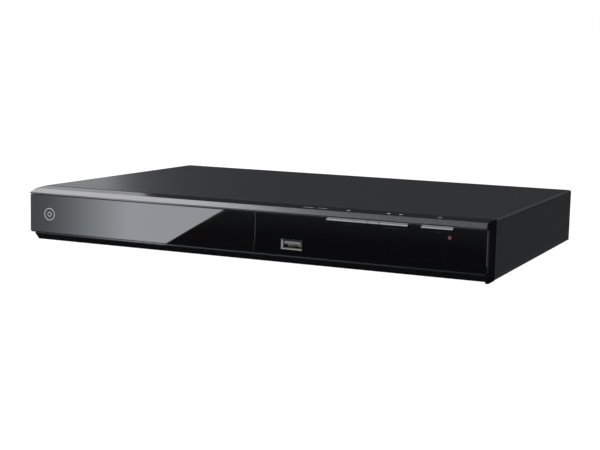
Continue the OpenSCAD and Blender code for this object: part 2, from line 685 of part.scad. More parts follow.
module power_key() color("#8d8f92") place() {
    key_bar(power_key_x, power_key_w);
    key_stem(power_key_x);
}

module standby_light() color("#b3403c") place() {
    bar_y(light_x, light_z, [0, 11.6], light_dia);
}

module front_board() color("#1f5b34") place() difference() {
    union() {
        slab(front_board_x, [board_y, board_y + board_t], front_board_z);
        slab([light_x - 2, light_x + 2], [12, board_y], [light_z - 2, light_z + 2]);
    }
    for (p = board_boss_at) bar_y(p[0], p[1], [board_y - 1, board_y + board_t + 1], screw_hole);
}

module tact_switch(x) {
    slab([x - 3, x + 3], [board_y - 3.5, board_y], [stem_z - 3, stem_z + 3]);
    bar_y(x, stem_z, [switch_face_y, board_y - 3], 3.4);
}
module tact_switches() color("#2a2a2c") place() for (x = [open_key_x, rocker_x - 5, rocker_x + 5, power_key_x])
    tact_switch(x);

module remote_receiver() color("#222226") place() {
    slab([receiver_x - 4, receiver_x + 4], [board_y - 4, board_y], [receiver_z - 4, receiver_z + 4]);
    translate([receiver_x, board_y - 4, receiver_z]) rotate([90, 0, 0]) cylinder(r = 3, h = 1.5);
}

module usb_socket() color("#c9cacc") place() {
    w = usb_w - 0.5;
    h = usb_h - 0.4;
    difference() {
        slab([usb_x - w / 2, usb_x + w / 2], [0.6, board_y], [usb_z - h / 2, usb_z + h / 2]);
        slab([usb_x - w / 2 + usb_wall, usb_x + w / 2 - usb_wall], [0, board_y - 2],
            [usb_z - h / 2 + usb_wall, usb_z + h / 2 - usb_wall]);
    }
    slab([usb_x - 5.4, usb_x + 5.4], [1.6, board_y - 1], [usb_z + 0.2, usb_z + 1.9]);
}

// ---------- boards ----------

module board(x, y) difference() {
    slab(x, y, [pcb_z, pcb_top]);
    for (p = board_holes(x, y)) post(p, [pcb_z - 1, pcb_top + 1], screw_hole);
}

module main_board() color("#1f5b34") place() board(main_board_x, main_board_y);

// A block centred on a point, from height z above the boards
module block(at, size, z = 0) translate([at[0] - size[0] / 2, at[1] - size[1] / 2, pcb_top + z])
    cube([size[0], size[1], size[2] - z]);

module main_chips() color("#1b1b1d") place() {
    block(processor_at, [processor_w, processor_w, processor_t]);
    block(memory_at, memory_size);
    for (c = small_chips) block(c[0], c[1]);
}

module processor_heat_sink() color("#b5b7ba") place()
    translate([processor_at[0] - processor_w / 2, processor_at[1] - processor_w / 2, pcb_top + processor_t]) {
        cube([processor_w, processor_w, sink_base_t]);
        for (i = [0 : sink_fins - 1]) translate([i * (processor_w - sink_fin_t) / (sink_fins - 1), 0, sink_base_t / 2])
            cube([sink_fin_t, processor_w, sink_h - sink_base_t / 2]);
    }

module can(at, d, h) post(at, [pcb_top, pcb_top + h], d);

module board_capacitors() color("#23324f") place() {
    for (p = can_at) can(p, can_d, can_h);
    for (p = tall_can_at) can(p, tall_can_d, tall_can_h);
}

module hdmi_socket() color("#c9cacc") place() {
    w = hdmi_size[0] / 2;
    h = hdmi_size[1];
    difference() {
        slab([hdmi_x - w, hdmi_x + w], [rear_y - hdmi_d, rear_y + 0.8], [pcb_top, pcb_top + h]);
        slab([hdmi_x - w + 0.5, hdmi_x + w - 0.5], [rear_y - hdmi_d + 1.5, rear_y + 1], [pcb_top + 0.75, pcb_top + h - 0.7]);
    }
    slab([hdmi_x - w + 2, hdmi_x + w - 2], [rear_y - hdmi_d + 1, rear_y - 1.5], [pcb_top + 2.6, pcb_top + 3.8]);
}

module av_jacks() color("#202022") place() {
    difference() {
        slab([jack_x[0] - jack_block[0] / 2, jack_x[2] + jack_block[0] / 2], [panel_y - 12, panel_y - 0.2],
            [pcb_top, pcb_top + jack_block[1]]);
        for (x = jack_x) bar_y(x, jack_z, [panel_y - 8, panel_y], jack_hole_d);
    }
    for (x = jack_x) difference() {
        union() {
            bar_y(x, jack_z, [panel_y - 1, rear_y + jack_collar], jack_collar_d);
            bar_y(x, jack_z, [rear_y, jack_end_y], jack_dia);
        }
        bar_y(x, jack_z, [panel_y - 8, jack_end_y + 1], jack_hole_d);
    }
}

module power_board() color("#8a6a3a") place() board(power_board_x, power_board_y);

module power_transformer() color("#c9a23a") place() {
    block(transformer_at, transformer_base);
    block(transformer_at, transformer_coil, transformer_base[2]);
    block(transformer_at, transformer_core, transformer_base[2] - seat);
}

module bulk_capacitors() color("#1c2a45") place() {
    can(bulk_can_at, bulk_can[0], bulk_can[1]);
    can(second_can_at, second_can[0], second_can[1]);
}

module mains_fuse() color("#d7d9db") place() {
    bar_x(fuse_at[1], fuse_z, [fuse_at[0] - fuse_l / 2, fuse_at[0] + fuse_l / 2], fuse_d);
    for (s = [-1, 1]) block([fuse_at[0] + s * (fuse_l / 2 - fuse_clip[0] + 1), fuse_at[1]], fuse_clip);
}

module regulator_heat_sink() color("#b5b7ba") place() {
    block([regulator_at[0], regulator_at[1] + regulator_t / 2], [regulator_w, regulator_t, regulator_h]);
    for (i = [-2 : 2]) block([regulator_at[0] + i * 5, regulator_at[1] + regulator_t + regulator_fin / 2 - 0.2],
        [1.2, regulator_fin, regulator_h], 2);
}

// Two-pin figure-of-eight socket
module mains_inlet() color("#18181a") place() {
    z = pcb_top + inlet_mouth[1] / 2;
    pin = inlet_pin_pitch / 2;
    difference() {
        union() {
            slab([inlet_x - inlet_w / 2, inlet_x + inlet_w / 2], [panel_y - inlet_d - 0.2, panel_y - 0.2],
                [pcb_top, pcb_top + inlet_h]);
            slab([inlet_x - inlet_mouth[0] / 2, inlet_x + inlet_mouth[0] / 2], [panel_y - 1, rear_y + 0.6],
                [pcb_top, pcb_top + inlet_mouth[1]]);
        }
        for (s = [-1, 1]) bar_y(inlet_x + s * (pin - 0.2), z, [rear_y - 12, rear_y + 2], 8);
        slab([inlet_x - pin + 0.2, inlet_x + pin - 0.2], [rear_y - 12, rear_y + 2], [z - 3.4, z + 3.4]);
    }
    for (s = [-1, 1]) bar_y(inlet_x + s * pin, z, [rear_y - 13, rear_y - 2], 2.4);
}

module insulation_sheet() color("#e8e4d0") place() difference() {
    slab([power_board_x[0] - 2, power_board_x[1] + 2], [power_board_y[0] - 2, power_board_y[1]],
        [floor_z, floor_z + 0.3]);
    for (p = board_holes(power_board_x, power_board_y)) post(p, [floor_z - 1, floor_z + 1], standoff_d + 0.6);
    for (p = foot_at) post(p, [floor_z - 1, floor_z + 1], 8);
    slab([power_board_x[0] + 4, power_board_x[1] - 2], [vent_y[0] - 2, vent_y[1] + 2], [floor_z - 1, floor_z + 1]);
}

// A flat cable of constant thickness whose outline follows the points, mitred at each bend
function ribbon_side(points, t) = [for (i = [0 : len(points) - 1])
    let (a = points[max(0, i - 1)], b = points[i], c = points[min(len(points) - 1, i + 1)],
        u = i == 0 ? (c - b) / norm(c - b) : (b - a) / norm(b - a),
        v = i == len(points) - 1 ? u : (c - b) / norm(c - b),
        n = [-u[1] - v[1], u[0] + v[0]])
    b + t * n / (n * n)];
module ribbon_path(points, t) polygon(concat(ribbon_side(points, t),
    [for (i = [len(points) - 1 : -1 : 0]) ribbon_side(points, -t)[i]]));

module front_ribbon() color("#d9dbde") place() across([ribbon_x - ribbon_w / 2, ribbon_x + ribbon_w / 2])
    ribbon_path([[front_plug_y, front_plug_z], [front_plug_y + 5, front_plug_z], [ribbon_land_y, floor_z + 2],
        [main_board_y[0] - 8, floor_z + 2], [main_board_y[0] - 2, main_plug_z], [main_plug_y, main_plug_z]], ribbon_t);

module loader_ribbon() color("#d9dbde") place() along([loader_plug_y[0] + plug_over, loader_plug_y[1] - plug_over])
    ribbon_path([[loader_plug_x, floor_z + 5], [loader_plug_x + 1.6, floor_z + 5],
        [main_side_plug_x - 1.6, main_plug_z], [main_side_plug_x, main_plug_z]], ribbon_t);

module power_harness() color("#c03a30") place() for (i = [-1.5 : 1.5])
    bar_x(harness_y + wire_pitch * i, pcb_top + 4, [main_power_plug_x + harness_plug[0], power_plug_x], wire_d);

module ribbon_connectors() color("#e6e2d4") place() {
    plug_x = [ribbon_x - ribbon_w / 2 - plug_over, ribbon_x + ribbon_w / 2 + plug_over];
    slab(plug_x, [board_y + board_t, front_plug_y], [front_plug_z - 3, front_plug_z + 3]);
    slab(plug_x, [main_plug_y, main_plug_y + 4.6], [pcb_top, pcb_top + plug_h]);
    slab([main_side_plug_x, main_side_plug_x + 4.4], loader_plug_y, [pcb_top, pcb_top + plug_h]);
    slab([loader_x + frame_half, loader_plug_x], loader_plug_y, [floor_z + 5 - plug_h / 2, floor_z + 5 + plug_h / 2]);
    for (x = [main_power_plug_x, power_plug_x]) block([x + harness_plug[0] / 2, harness_y], harness_plug);
}

// ---------- loader ----------

module frame_rail(s) scale([s, 1, 1]) {
    slab([rail_in, frame_half], frame_y, [frame_z0, rail_top_z]);
    slab([tray_half - 1, rail_in + 0.1], frame_y, [tray_z0 - 2, tray_z0 - gap]);
    for (y = tab_y) slab([tray_half + 1, rail_in + 0.1], [y, y + tab_l],
        [tray_z0 + flange_t + 0.4, tray_z0 + flange_t + 0.4 + tab_t]);
}

module loader_frame() color("#26262a") place() difference() {
    union() {
        translate([loader_x, 0, 0]) {
            mirror([1, 0, 0]) frame_rail(1);
            frame_rail(1);
            slab([-rail_in - 0.1, rail_in + 0.1], [frame_y[0], front_plate_y1], [frame_z0, frame_plate_z]);
            slab([-rail_in - 0.1, rail_in + 0.1], [rear_plate_y0, frame_y[1]], [frame_z0, frame_plate_z]);
            slab([-rail_in - 0.1, rail_in + 0.1], [frame_y[1] - 2, frame_y[1]], [frame_z0, tray_z1]);
            for (s = [0, 1]) mirror([s, 0, 0]) slab([boss_in, boss_out], [hinge_y - 5, hinge_y + 5],
                [frame_plate_z - 0.1, hinge_z + 3.5]);
            slab([-36, 58], [cam_y[0] - gap - 1.5, cam_y[0] - gap], [frame_plate_z - 0.1, frame_plate_z + 5]);
            slab([-44, 62], [cam_y[1] + gap, cam_y[1] + gap + 1.4], [frame_plate_z - 0.1, frame_plate_z + 1.2]);
        }
        post([tray_gear_x, drive_y], [frame_plate_z - 0.1, tray_z0 - gap], post_d);
        post([tray_gear_x, drive_y], [frame_plate_z - 0.1, gear_z0 - 0.2], 7);
        post([pulley_gear_x, drive_y], [frame_plate_z - 0.1, pulley_z0 + pulley_h + 0.8], post_d);
        post([pulley_gear_x, drive_y], [frame_plate_z - 0.1, gear_z0 - 0.2], 6);
    }
    translate([loader_x, 0, 0]) bar_x(hinge_y, hinge_z, [-boss_out - 1, boss_out + 1], hinge_pin_d + 2 * running_gap);
    post([motor_x, drive_y], [frame_z0 - 1, frame_plate_z + 1], motor_dia + 0.6);
    for (p = loader_screw_at) post(p, [frame_z0 - 1, frame_plate_z + 1], screw_hole);
    for (p = bridge_screw_at) post(p, [rail_top_z - 8, rail_top_z + 1], 2.2);
}

module tray_gear() color("#e8e8e2") place() translate([tray_gear_x, drive_y, 0]) difference() {
    union() {
        translate([0, 0, gear_z0]) gear(train_module, tray_wheel_teeth, gear_face);
        translate([0, 0, gear_z0 + gear_face - 0.1]) cylinder(d = 9, h = rack_z0 - 0.4 - gear_z0 - gear_face + 0.2);
        translate([0, 0, rack_z0 - 0.4]) gear(rack_module, rack_gear_teeth, 2.8);
    }
    cylinder(d = post_d + 2 * running_gap, h = 40);
}

module pulley(r, h) rotate_extrude() polygon([[0, 0], [r, 0], [r, h / 2 - belt_w / 2 - 0.2],
    [r - groove_d, h / 2 - belt_w / 2 - 0.2], [r - groove_d, h / 2 + belt_w / 2 + 0.2],
    [r, h / 2 + belt_w / 2 + 0.2], [r, h], [0, h]]);

module pulley_gear() color("#e8e8e2") place() translate([pulley_gear_x, drive_y, 0]) difference() {
    union() {
        translate([0, 0, gear_z0]) rotate(180 / pulley_pinion_teeth)
            gear(train_module, pulley_pinion_teeth, pulley_z0 - gear_z0 + 0.1);
        translate([0, 0, pulley_z0]) pulley(pulley_r, pulley_h);
    }
    cylinder(d = post_d + 2 * running_gap, h = 40);
}

module motor_pulley() color("#c8b070") place() translate([motor_x, drive_y, 0]) {
    translate([0, 0, pulley_z0]) pulley(motor_pulley_r, pulley_h);
    translate([0, 0, floor_z + 3]) cylinder(d = 1.5, h = pulley_z0 - floor_z - 2.9);
}

// The belt's path round both pulleys
module belt_loop(grow) hull() {
    translate([pulley_gear_x, drive_y]) circle(pulley_r - groove_d + belt_in + grow);
    translate([motor_x, drive_y]) circle(motor_pulley_r - groove_d + belt_in + grow);
}
module drive_belt() color("#0e0e0e") place() translate([0, 0, pulley_z0 + pulley_h / 2 - belt_w / 2])
    linear_extrude(belt_w) difference() {
        belt_loop(1);
        belt_loop(0);
    }

module loading_motor() color("#b9bbbd") place() translate([motor_x, drive_y, 0]) difference() {
    union() {
        translate([0, 0, floor_z + 0.4]) cylinder(d = motor_dia, h = pulley_z0 - 0.8 - floor_z - 0.4);
        translate([0, 0, frame_plate_z]) cylinder(d = motor_dia + 3, h = 0.8);
    }
    translate([0, 0, floor_z + 2]) cylinder(d = 1.5 + 2 * running_gap, h = 30);
}

// The slot falls by the same height as the deck's pins do while the slider moves by its travel
module cam_slot_path(x) translate([x, 0]) for (i = [0 : 1]) {
    ends = [[0, cam_pin_z], [-cam_travel, cam_pin_z - cam_fall]];
    translate(ends[i]) circle(d = cam_slot);
    if (i == 0) let (d = ends[1] - ends[0], n = cam_slot / 2 * [-d[1], d[0]] / norm(d))
        polygon([ends[0] + n, ends[1] + n, ends[1] - n, ends[0] - n]);
}

module cam_slider() color("#d8d8d2") place() along(cam_y) difference() {
    translate([cam_pins[0] - cam_travel - 4, cam_z0])
        square([cam_pins[1] - cam_pins[0] + cam_travel + 8, cam_z1 - cam_z0]);
    for (x = cam_pins) cam_slot_path(x);
}

// ---------- traverse deck ----------

module traverse_deck() color("#3a3a40") place() difference() {
    union() {
        translate([loader_x, 0, 0]) {
            for (s = [0, 1]) mirror([s, 0, 0]) {
                slab([window_half, deck_half], [deck_y0, deck_y1], [deck_z0, bar_z1]);
                slab([rod_off - 3.5, rod_off + 3.5], [well_y[0] - 3, well_y[0]], [deck_z0, rod_z + 3]);
                bar_x(hinge_y, hinge_z, [deck_half - 1, boss_out - 0.4], hinge_pin_d);
            }
            slab([-deck_half, deck_half], [deck_y0, deck_y0 + 2.5], [deck_z0, cam_pin_z + 1.6]);
            slab([-window_half - 0.1, window_half + 0.1], [deck_y0, well_y[0]], [hinge_z, hinge_z + 2]);
            slab([-deck_half, deck_half], [well_y[1], deck_y1], [deck_z0, rod_z + 2.3]);
            slab([window_half, 51.5], [sled_motor_y - 9.2, sled_motor_y + 9.2], [deck_z0, bar_z1]);
        }
        for (x = cam_pins) bar_y(x, cam_pin_z, [cam_y[0], deck_y0 + 0.1], cam_pin_d);
        post([sled_gear_x, sled_gear_y], [bar_z1 - 0.1, sled_rack_z[1] + 0.6], sled_post_d);
    }
    post([loader_x, disc_y], [hinge_z - 1, hinge_z + 3], rotor_dia + 2);
    for (s = [-1, 1]) bar_y(loader_x + s * rod_off, rod_z, [well_y[0] - 2, well_y[1] + 5],
        rod_dia + 2 * running_gap);
    post([sled_gear_x, sled_motor_y], [deck_z0 - 1, bar_z1 + 1], sled_motor_dia + 0.2);
}

module guide_rods() color("#cfd1d4") place() for (s = [-1, 1])
    bar_y(loader_x + s * rod_off, rod_z, [well_y[0] - 1.8, well_y[1] + 4.8], rod_dia);

module spindle_motor() color("#b9bbbd") place() translate([loader_x, disc_y, 0]) difference() {
    union() {
        slab([-17, 17], [-14, 12.5], [base_plate_z, hinge_z]);
        translate([0, 0, base_plate_z]) cylinder(d = 6, h = 5.4);
        translate([0, 0, hinge_z + 0.8]) cylinder(d = 20, h = 3.2);
        translate([0, 0, base_plate_z - 1.2]) cylinder(d = 7, h = 1.3);
    }
    translate([0, 0, base_plate_z - 0.6]) cylinder(d = 2 + 2 * running_gap, h = 10);
}

module turntable() color("#2b2b2e") place() translate([loader_x, disc_y, 0]) {
    rotate_extrude() polygon([[0, base_plate_z], [1, base_plate_z], [1, rotor_z0 + 5.2],
        [rotor_dia / 2 - 0.8, rotor_z0 + 5.2], [rotor_dia / 2 - 0.8, rotor_z0], [rotor_dia / 2, rotor_z0],
        [rotor_dia / 2, rotor_z0 + 6], [8, rotor_z0 + 6], [8, table_z - 1.6], [turntable_dia / 2, table_z - 1.6],
        [turntable_dia / 2, table_z], [7.5, table_z], [7.5, table_z + 1], [5.5, table_z + 2.3], [0, table_z + 2.3]]);
}

module pickup_sled() color("#4a4c50") place() difference() {
    union() {
        translate([loader_x, 0, 0]) {
            slab([-sled_half, sled_half], sled_y, sled_z);
            slab([-rod_off - 3.2, -sled_half + 0.1], [lens_y - 6, lens_y + 18], [rod_z - 3, rod_z + 3]);
            slab([sled_half - 0.1, rod_off + 2.5], [lens_y + 1, lens_y + 11], [rod_z - 2.6, rod_z + 2.6]);
            slab([sled_half - 6, 36.9], [sled_y[0], sled_gear_y + 1], sled_rack_z);
            slab([-9, 9], [lens_y - 7, lens_y + 9], [sled_z[1] - 0.1, sled_z[1] + 2]);
        }
        translate([sled_line_x, sled_gear_y, sled_rack_z[0]]) linear_extrude(sled_rack_z[1] - sled_rack_z[0])
            rack_outline(sled_module, 1.3, [sled_y[0] - sled_gear_y, 1]);
    }
    bar_y(loader_x - rod_off, rod_z, [sled_y[0] - 1, sled_y[1] + 1], rod_dia + 2 * running_gap);
    slab([loader_x + rod_off - rod_dia / 2 - 0.4, loader_x + rod_off + 4], [lens_y, lens_y + 12],
        [rod_z - rod_dia / 2 - 0.1, rod_z + rod_dia / 2 + 0.1]);
    slab([loader_x - 20, loader_x + 20], [lens_y + 10, sled_y[1] - 2], [sled_z[0] + 2, sled_z[1] - 1.6]);
    slab([loader_x - 7.5, loader_x + 7.5], [lens_y - 5.5, lens_y + 7.5], [sled_z[1], sled_z[1] + 3]);
}

module pickup_lens() color("#31465e") place() translate([loader_x, lens_y, 0]) {
    slab([-6.5, 6.5], [-4.5, 6.5], [sled_z[1], sled_z[1] + 2.4]);
    translate([0, 0, sled_z[1] + 2.3]) cylinder(r1 = 3.4, r2 = 2.6, h = 1.3);
}

module sled_motor() color("#b9bbbd") place() translate([sled_gear_x, sled_motor_y, 0]) difference() {
    translate([0, 0, deck_z0 - 4.6]) cylinder(d = sled_motor_dia, h = 7);
    translate([0, 0, deck_z0 - 2]) cylinder(d = 1 + 2 * running_gap, h = 10);
}

module sled_pinion() color("#c8b070") place() translate([sled_gear_x, sled_motor_y, 0]) {
    translate([0, 0, sled_wheel_z + 0.2]) gear(sled_wheel_module, sled_pinion_teeth, 1.8);
    translate([0, 0, deck_z0 - 1.5]) cylinder(d = 1, h = sled_wheel_z - deck_z0 + 1.8);
}

module sled_gear() color("#e8e8e2") place() translate([sled_gear_x, sled_gear_y, 0]) difference() {
    union() {
        translate([0, 0, sled_wheel_z]) gear(sled_wheel_module, sled_wheel_teeth, 1.8);
        translate([0, 0, sled_wheel_z + 1.7]) cylinder(d = 4.6, h = 0.6);
        translate([0, 0, sled_rack_z[0] - 0.3]) gear(sled_module, sled_gear_teeth, 2.3);
    }
    cylinder(d = sled_post_d + 2 * running_gap, h = 40);
}

module clamper_bridge() color("#aeb0b3") place() difference() {
    union() {
        slab([loader_x - frame_half, loader_x + frame_half], bridge_y, [bridge_z, bridge_z + bridge_t]);
        for (y = [bridge_y[0], bridge_y[1] - bridge_t])
            slab([loader_x - frame_half + 8, loader_x + frame_half - 8], [y, y + bridge_t],
                [bridge_z, bridge_z + 4]);
    }
    post([loader_x, disc_y], [bridge_z - 1, bridge_z + 5], 2 * bridge_hole_r);
    for (p = bridge_screw_at) post(p, [bridge_z - 1, bridge_z + 3], screw_hole);
}

// The clamper hangs by its upper flange in the bridge, over the turntable
module disc_clamper() color("#e6e6e0") place() translate([loader_x, disc_y, 0])
    rotate_extrude() polygon([[0, clamper_z + 2.8], [8.6, clamper_z + 2.8], [8.6, clamper_z],
        [bridge_hole_r + 2, clamper_z], [bridge_hole_r + 2, bridge_z - 0.4], [bridge_hole_r - 0.6, bridge_z - 0.4],
        [bridge_hole_r - 0.6, bridge_z + bridge_t + gap], [bridge_hole_r + 2.2, bridge_z + bridge_t + gap],
        [bridge_hole_r + 2.2, bridge_z + bridge_t + 1.6], [11, bridge_z + bridge_t + 1.6],
        [10.4, bridge_z + bridge_t + 3.6], [0, bridge_z + bridge_t + 3.6]]);

// ---------- screws ----------

module cover_screws() color("#1a1a1a") place() for (x = cover_screw_x)
    translate([x, body_d, cover_screw_z]) rotate([-90, 0, 0]) screw(screw_d, 6, 6, 1.8);

module loader_screws() color("#b0b0b0") place() for (p = loader_screw_at)
    translate([p[0], p[1], frame_plate_z]) screw(screw_d, frame_plate_z - base_z, 7, 1);

module bridge_screws() color("#b0b0b0") place() for (p = bridge_screw_at)
    translate([p[0], p[1], bridge_z + bridge_t]) screw(2, 8, 4.4, 1.3);

module board_screws() color("#b0b0b0") place() {
    for (p = board_screw_at) translate([p[0], p[1], pcb_top]) screw(screw_d, 6, 5.4, 1.6);
    for (p = board_boss_at) translate([p[0], board_y + board_t, p[1]]) rotate([-90, 0, 0]) screw(2.2, 7, 5, 1.4);
}

top_cover();
bottom_chassis();
rear_panel();
rubber_feet();
front_bezel();
chamfer_trim();
front_window();
tray_front();
disc_tray();
open_key();
key_spacer();
stop_play_rocker();
power_key();
standby_light();
front_board();
tact_switches();
remote_receiver();
usb_socket();
main_board();
main_chips();
processor_heat_sink();
board_capacitors();
hdmi_socket();
av_jacks();
power_board();
power_transformer();
bulk_capacitors();
mains_fuse();
regulator_heat_sink();
mains_inlet();
insulation_sheet();
front_ribbon();
power_harness();
loader_ribbon();
ribbon_connectors();
loader_frame();
traverse_deck();
guide_rods();
spindle_motor();
turntable();
pickup_sled();
pickup_lens();
sled_motor();
sled_pinion();
sled_gear();
clamper_bridge();
disc_clamper();
loading_motor();
motor_pulley();
drive_belt();
pulley_gear();
tray_gear();
cam_slider();
cover_screws();
loader_screws();
bridge_screws();
board_screws();
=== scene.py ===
import math
import bmesh
import bpy
from mathutils import Matrix, Vector


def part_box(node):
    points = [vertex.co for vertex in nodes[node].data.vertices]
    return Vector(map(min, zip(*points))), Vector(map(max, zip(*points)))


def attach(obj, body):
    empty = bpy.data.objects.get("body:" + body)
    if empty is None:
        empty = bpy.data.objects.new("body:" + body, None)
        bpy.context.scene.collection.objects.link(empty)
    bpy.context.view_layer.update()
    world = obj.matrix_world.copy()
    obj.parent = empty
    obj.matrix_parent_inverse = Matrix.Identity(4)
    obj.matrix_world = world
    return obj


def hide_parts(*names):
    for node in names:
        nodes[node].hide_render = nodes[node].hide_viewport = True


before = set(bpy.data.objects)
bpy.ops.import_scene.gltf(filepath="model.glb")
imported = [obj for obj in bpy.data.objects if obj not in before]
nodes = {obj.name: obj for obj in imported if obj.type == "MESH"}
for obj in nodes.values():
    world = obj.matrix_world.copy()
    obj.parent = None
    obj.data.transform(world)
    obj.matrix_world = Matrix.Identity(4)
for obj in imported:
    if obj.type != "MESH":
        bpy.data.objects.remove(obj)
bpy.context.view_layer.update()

# ---------------------------------------------------------------------------
# The table, the light and the camera.
# A pale table under soft studio light, seen from the front, a little from the right and from
# above. Flags and a bright card, seen only in gloss, make the reflections of a small studio.
# ---------------------------------------------------------------------------
MM = 0.001
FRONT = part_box("front_window")[0].y          # face of the glossy front panels


class Wire:
    """A value in a finish's nodes: sums that are written on it add Math nodes."""

    def __init__(self, nodes_of, socket):
        self.of, self.socket = nodes_of, socket

    def sum(self, operation, *values):
        return self.of.add("ShaderNodeMath", {"operation": operation}, dict(enumerate(values)))

    def __add__(self, other):
        return self.sum("ADD", self, other)

    def __sub__(self, other):
        return self.sum("SUBTRACT", self, other)

    def __rsub__(self, other):
        return self.sum("SUBTRACT", other, self)

    def __mul__(self, other):
        return self.sum("MULTIPLY", self, other)

    def __truediv__(self, other):
        return self.sum("DIVIDE", self, other)

    def __pow__(self, other):
        return self.sum("POWER", self, other)

    def above(self, edge):
        return self.sum("GREATER_THAN", self, edge)

    def below(self, edge):
        return self.sum("LESS_THAN", self, edge)

    def most(self, other):
        return self.sum("MAXIMUM", self, other)

    def part(self):
        return self.sum("FRACT", self)

    def size(self):
        return self.sum("ABSOLUTE", self)

    __radd__, __rmul__ = __add__, __mul__


class Nodes:
    """The nodes of a finish, a lamp or the world."""

    def __init__(self, tree):
        self.tree = tree

    def add(self, kind, settings=None, sockets=None, out=0):
        """A new node with its settings and sockets. It gives one of its outputs as a value."""
        node = self.tree.nodes.new(kind)
        for key, value in (settings or {}).items():
            setattr(node, key, value)
        self.feed(node, sockets or {})
        return Wire(self, node.outputs[out]) if node.outputs else None

    def feed(self, node, sockets):
        """Links or sets a node's sockets, by name or by number."""
        for key, value in sockets.items():
            socket = node.inputs[key]
            if isinstance(value, Wire):
                self.tree.links.new(value.socket, socket)
            elif socket.type == "RGBA" and len(value) == 3:
                socket.default_value = (*value, 1)
            else:
                socket.default_value = value

    def place(self):
        """Object coordinates."""
        return self.add("ShaderNodeTexCoord", out=3)

    def axis(self, which):
        return self.add("ShaderNodeSeparateXYZ", {}, {0: self.place()}, out="XYZ".index(which))

    def noise(self, grain, detail=2.0, stretch=(1, 1, 1)):
        """Noise with grains of that many millimetres."""
        spread = self.add("ShaderNodeMapping", {}, {"Vector": self.place(), "Scale": stretch})
        size = {"Scale": 1 / (grain * MM), "Detail": detail}
        return self.add("ShaderNodeTexNoise", {}, {"Vector": spread, **size})

    def between(self, mask, first, second):
        return self.add("ShaderNodeMix", {"data_type": "RGBA"}, {0: mask, 6: first, 7: second}, out=2)


def card(name, outline, glow, height=0.4):
    """A flag or a bright card: a plane that only gloss sees. Its outline is in millimetres, on the table
    where the points have no height, and glow gives its light from the nodes of its finish."""
    mesh = bpy.data.meshes.new(name)
    mesh.from_pydata([Vector((*c, height)[:3]) * MM for c in outline], [], [tuple(range(len(outline)))])
    obj = bpy.data.objects.new(name, mesh)
    bpy.context.scene.collection.objects.link(obj)
    material = bpy.data.materials.new(name)
    material.use_nodes = True
    material.node_tree.nodes.clear()
    look = Nodes(material.node_tree)
    level = glow(look) if callable(glow) else glow
    light = look.add("ShaderNodeEmission", {}, {"Color": (0.95, 1, 1.05), "Strength": level})
    look.add("ShaderNodeOutputMaterial", {}, {"Surface": light})
    mesh.materials.append(material)
    for ray in ("camera", "diffuse", "shadow", "transmission", "volume_scatter"):
        setattr(obj, "visible_" + ray, False)


def soft(axis, start, stop, low, high):
    """Light that runs from low to high between two places on an axis."""
    return lambda look: look.add("ShaderNodeMapRange", {"interpolation_type": "SMOOTHSTEP"}, {
        "Value": look.axis(axis), "From Min": start * MM, "From Max": stop * MM,
        "To Min": low, "To Max": high})


front_mm = FRONT / MM
EYE = Vector((347.95, -788.0, 129.31))       # the camera, in millimetres
MIRRORED = 2 * front_mm - EYE.y              # how far back it stands when seen in the front panels


def seen_in_front(x, z):
    """The spot on the table that the camera sees mirrored in the front panels at that point."""
    t = EYE.z / (EYE.z - z)
    return EYE.x + t * (x - EYE.x), MIRRORED + t * (front_mm - MIRRORED)


BRIGHT, DIM = 6.9, 0.193                     # the bright card's light, and the share at its left end


def fan(look):
    """The bright card's light, which falls off to the left along lines that meet behind the panels."""
    slant = (look.axis("X") - EYE.x * MM) / (MIRRORED * MM - look.axis("Y"))
    first, last = ((x - EYE.x) / (MIRRORED - front_mm) for x in (-154, -80))
    t = look.add("ShaderNodeMapRange", {}, {"Value": slant, "From Min": first, "From Max": last})
    return (t * t * (1.86 - t * 0.86) * (1 - DIM) + DIM) * BRIGHT


# The wall behind, which the cover mirrors: dark, paler higher up, and with a bright haze on the left.
BACK = 1500
card("back_flag", [(-1150, BACK, 0), (2600, BACK, 0), (2600, BACK, 3000), (-990, BACK, 3000),
                   (-1030, BACK, 1250), (-1090, BACK, 600)], soft("Z", 850, 1200, 0.048, 0.165))
HAZE = BACK + 10
card("back_haze", [(-4000, HAZE, 0), (-1200, HAZE, 0), (-1050, HAZE, 900), (-4000, HAZE, 900)], 0.72)
FOLD = BACK - 20                             # a low light that the cover's folds catch
card("fold_light", [(-50, FOLD, 300), (900, FOLD, 300), (900, FOLD, 620), (-50, FOLD, 620)], 0.3)

# What the right side mirrors: a dark wall, and the table beside the player.
SIDE = 1500
card("side_flag", [(SIDE, -900, 0), (SIDE, 1600, 0), (SIDE, 1600, 1500), (SIDE, -900, 1500)], 0.12)
BESIDE = 157
card("dark_beside", [(BESIDE, front_mm), (SIDE, front_mm), (SIDE, BACK), (BESIDE, BACK)], 0.065)

# What the front mirrors: a bright card on the left and a dark one on the right. The edge between them
# runs where the slanting edge in the left panel is seen. The keys and the plinth mirror a bright strip.
edge_far, edge_near = seen_in_front(-11.2, 34), seen_in_front(-52.09, 9.33)
slant_x = edge_near[0]
near, far = edge_near[1] + 2, front_mm - 250
strip_far, strip_near = front_mm - 49, front_mm - 28
UNDER, TABLE_LEFT, TABLE_RIGHT = 30, -300, 230
# Painted shadow: a near-black sheet just over the table around the front edge, seen only in gloss, stands
# for the table's shade under the player.
card("painted_shadow_under", [(TABLE_LEFT, front_mm - UNDER), (TABLE_RIGHT, front_mm - UNDER),
                    (TABLE_RIGHT, front_mm + UNDER), (TABLE_LEFT, front_mm + UNDER)], 0.02, 0.6)
card("dark_table", [edge_far, (slant_x + 1, near), (slant_x + 2, strip_far), (TABLE_RIGHT, strip_far),
                    (TABLE_RIGHT, far), (edge_far[0], far)], soft("Y", far, front_mm - 110, 0.14, 0.045))
card("near_table", [(slant_x + 2, strip_far), (TABLE_RIGHT, strip_far), (TABLE_RIGHT, strip_near),
                    (slant_x + 6, strip_near)], soft("X", -60, 150, 1.8, 0.65))
BRIGHT_LEFT = -520
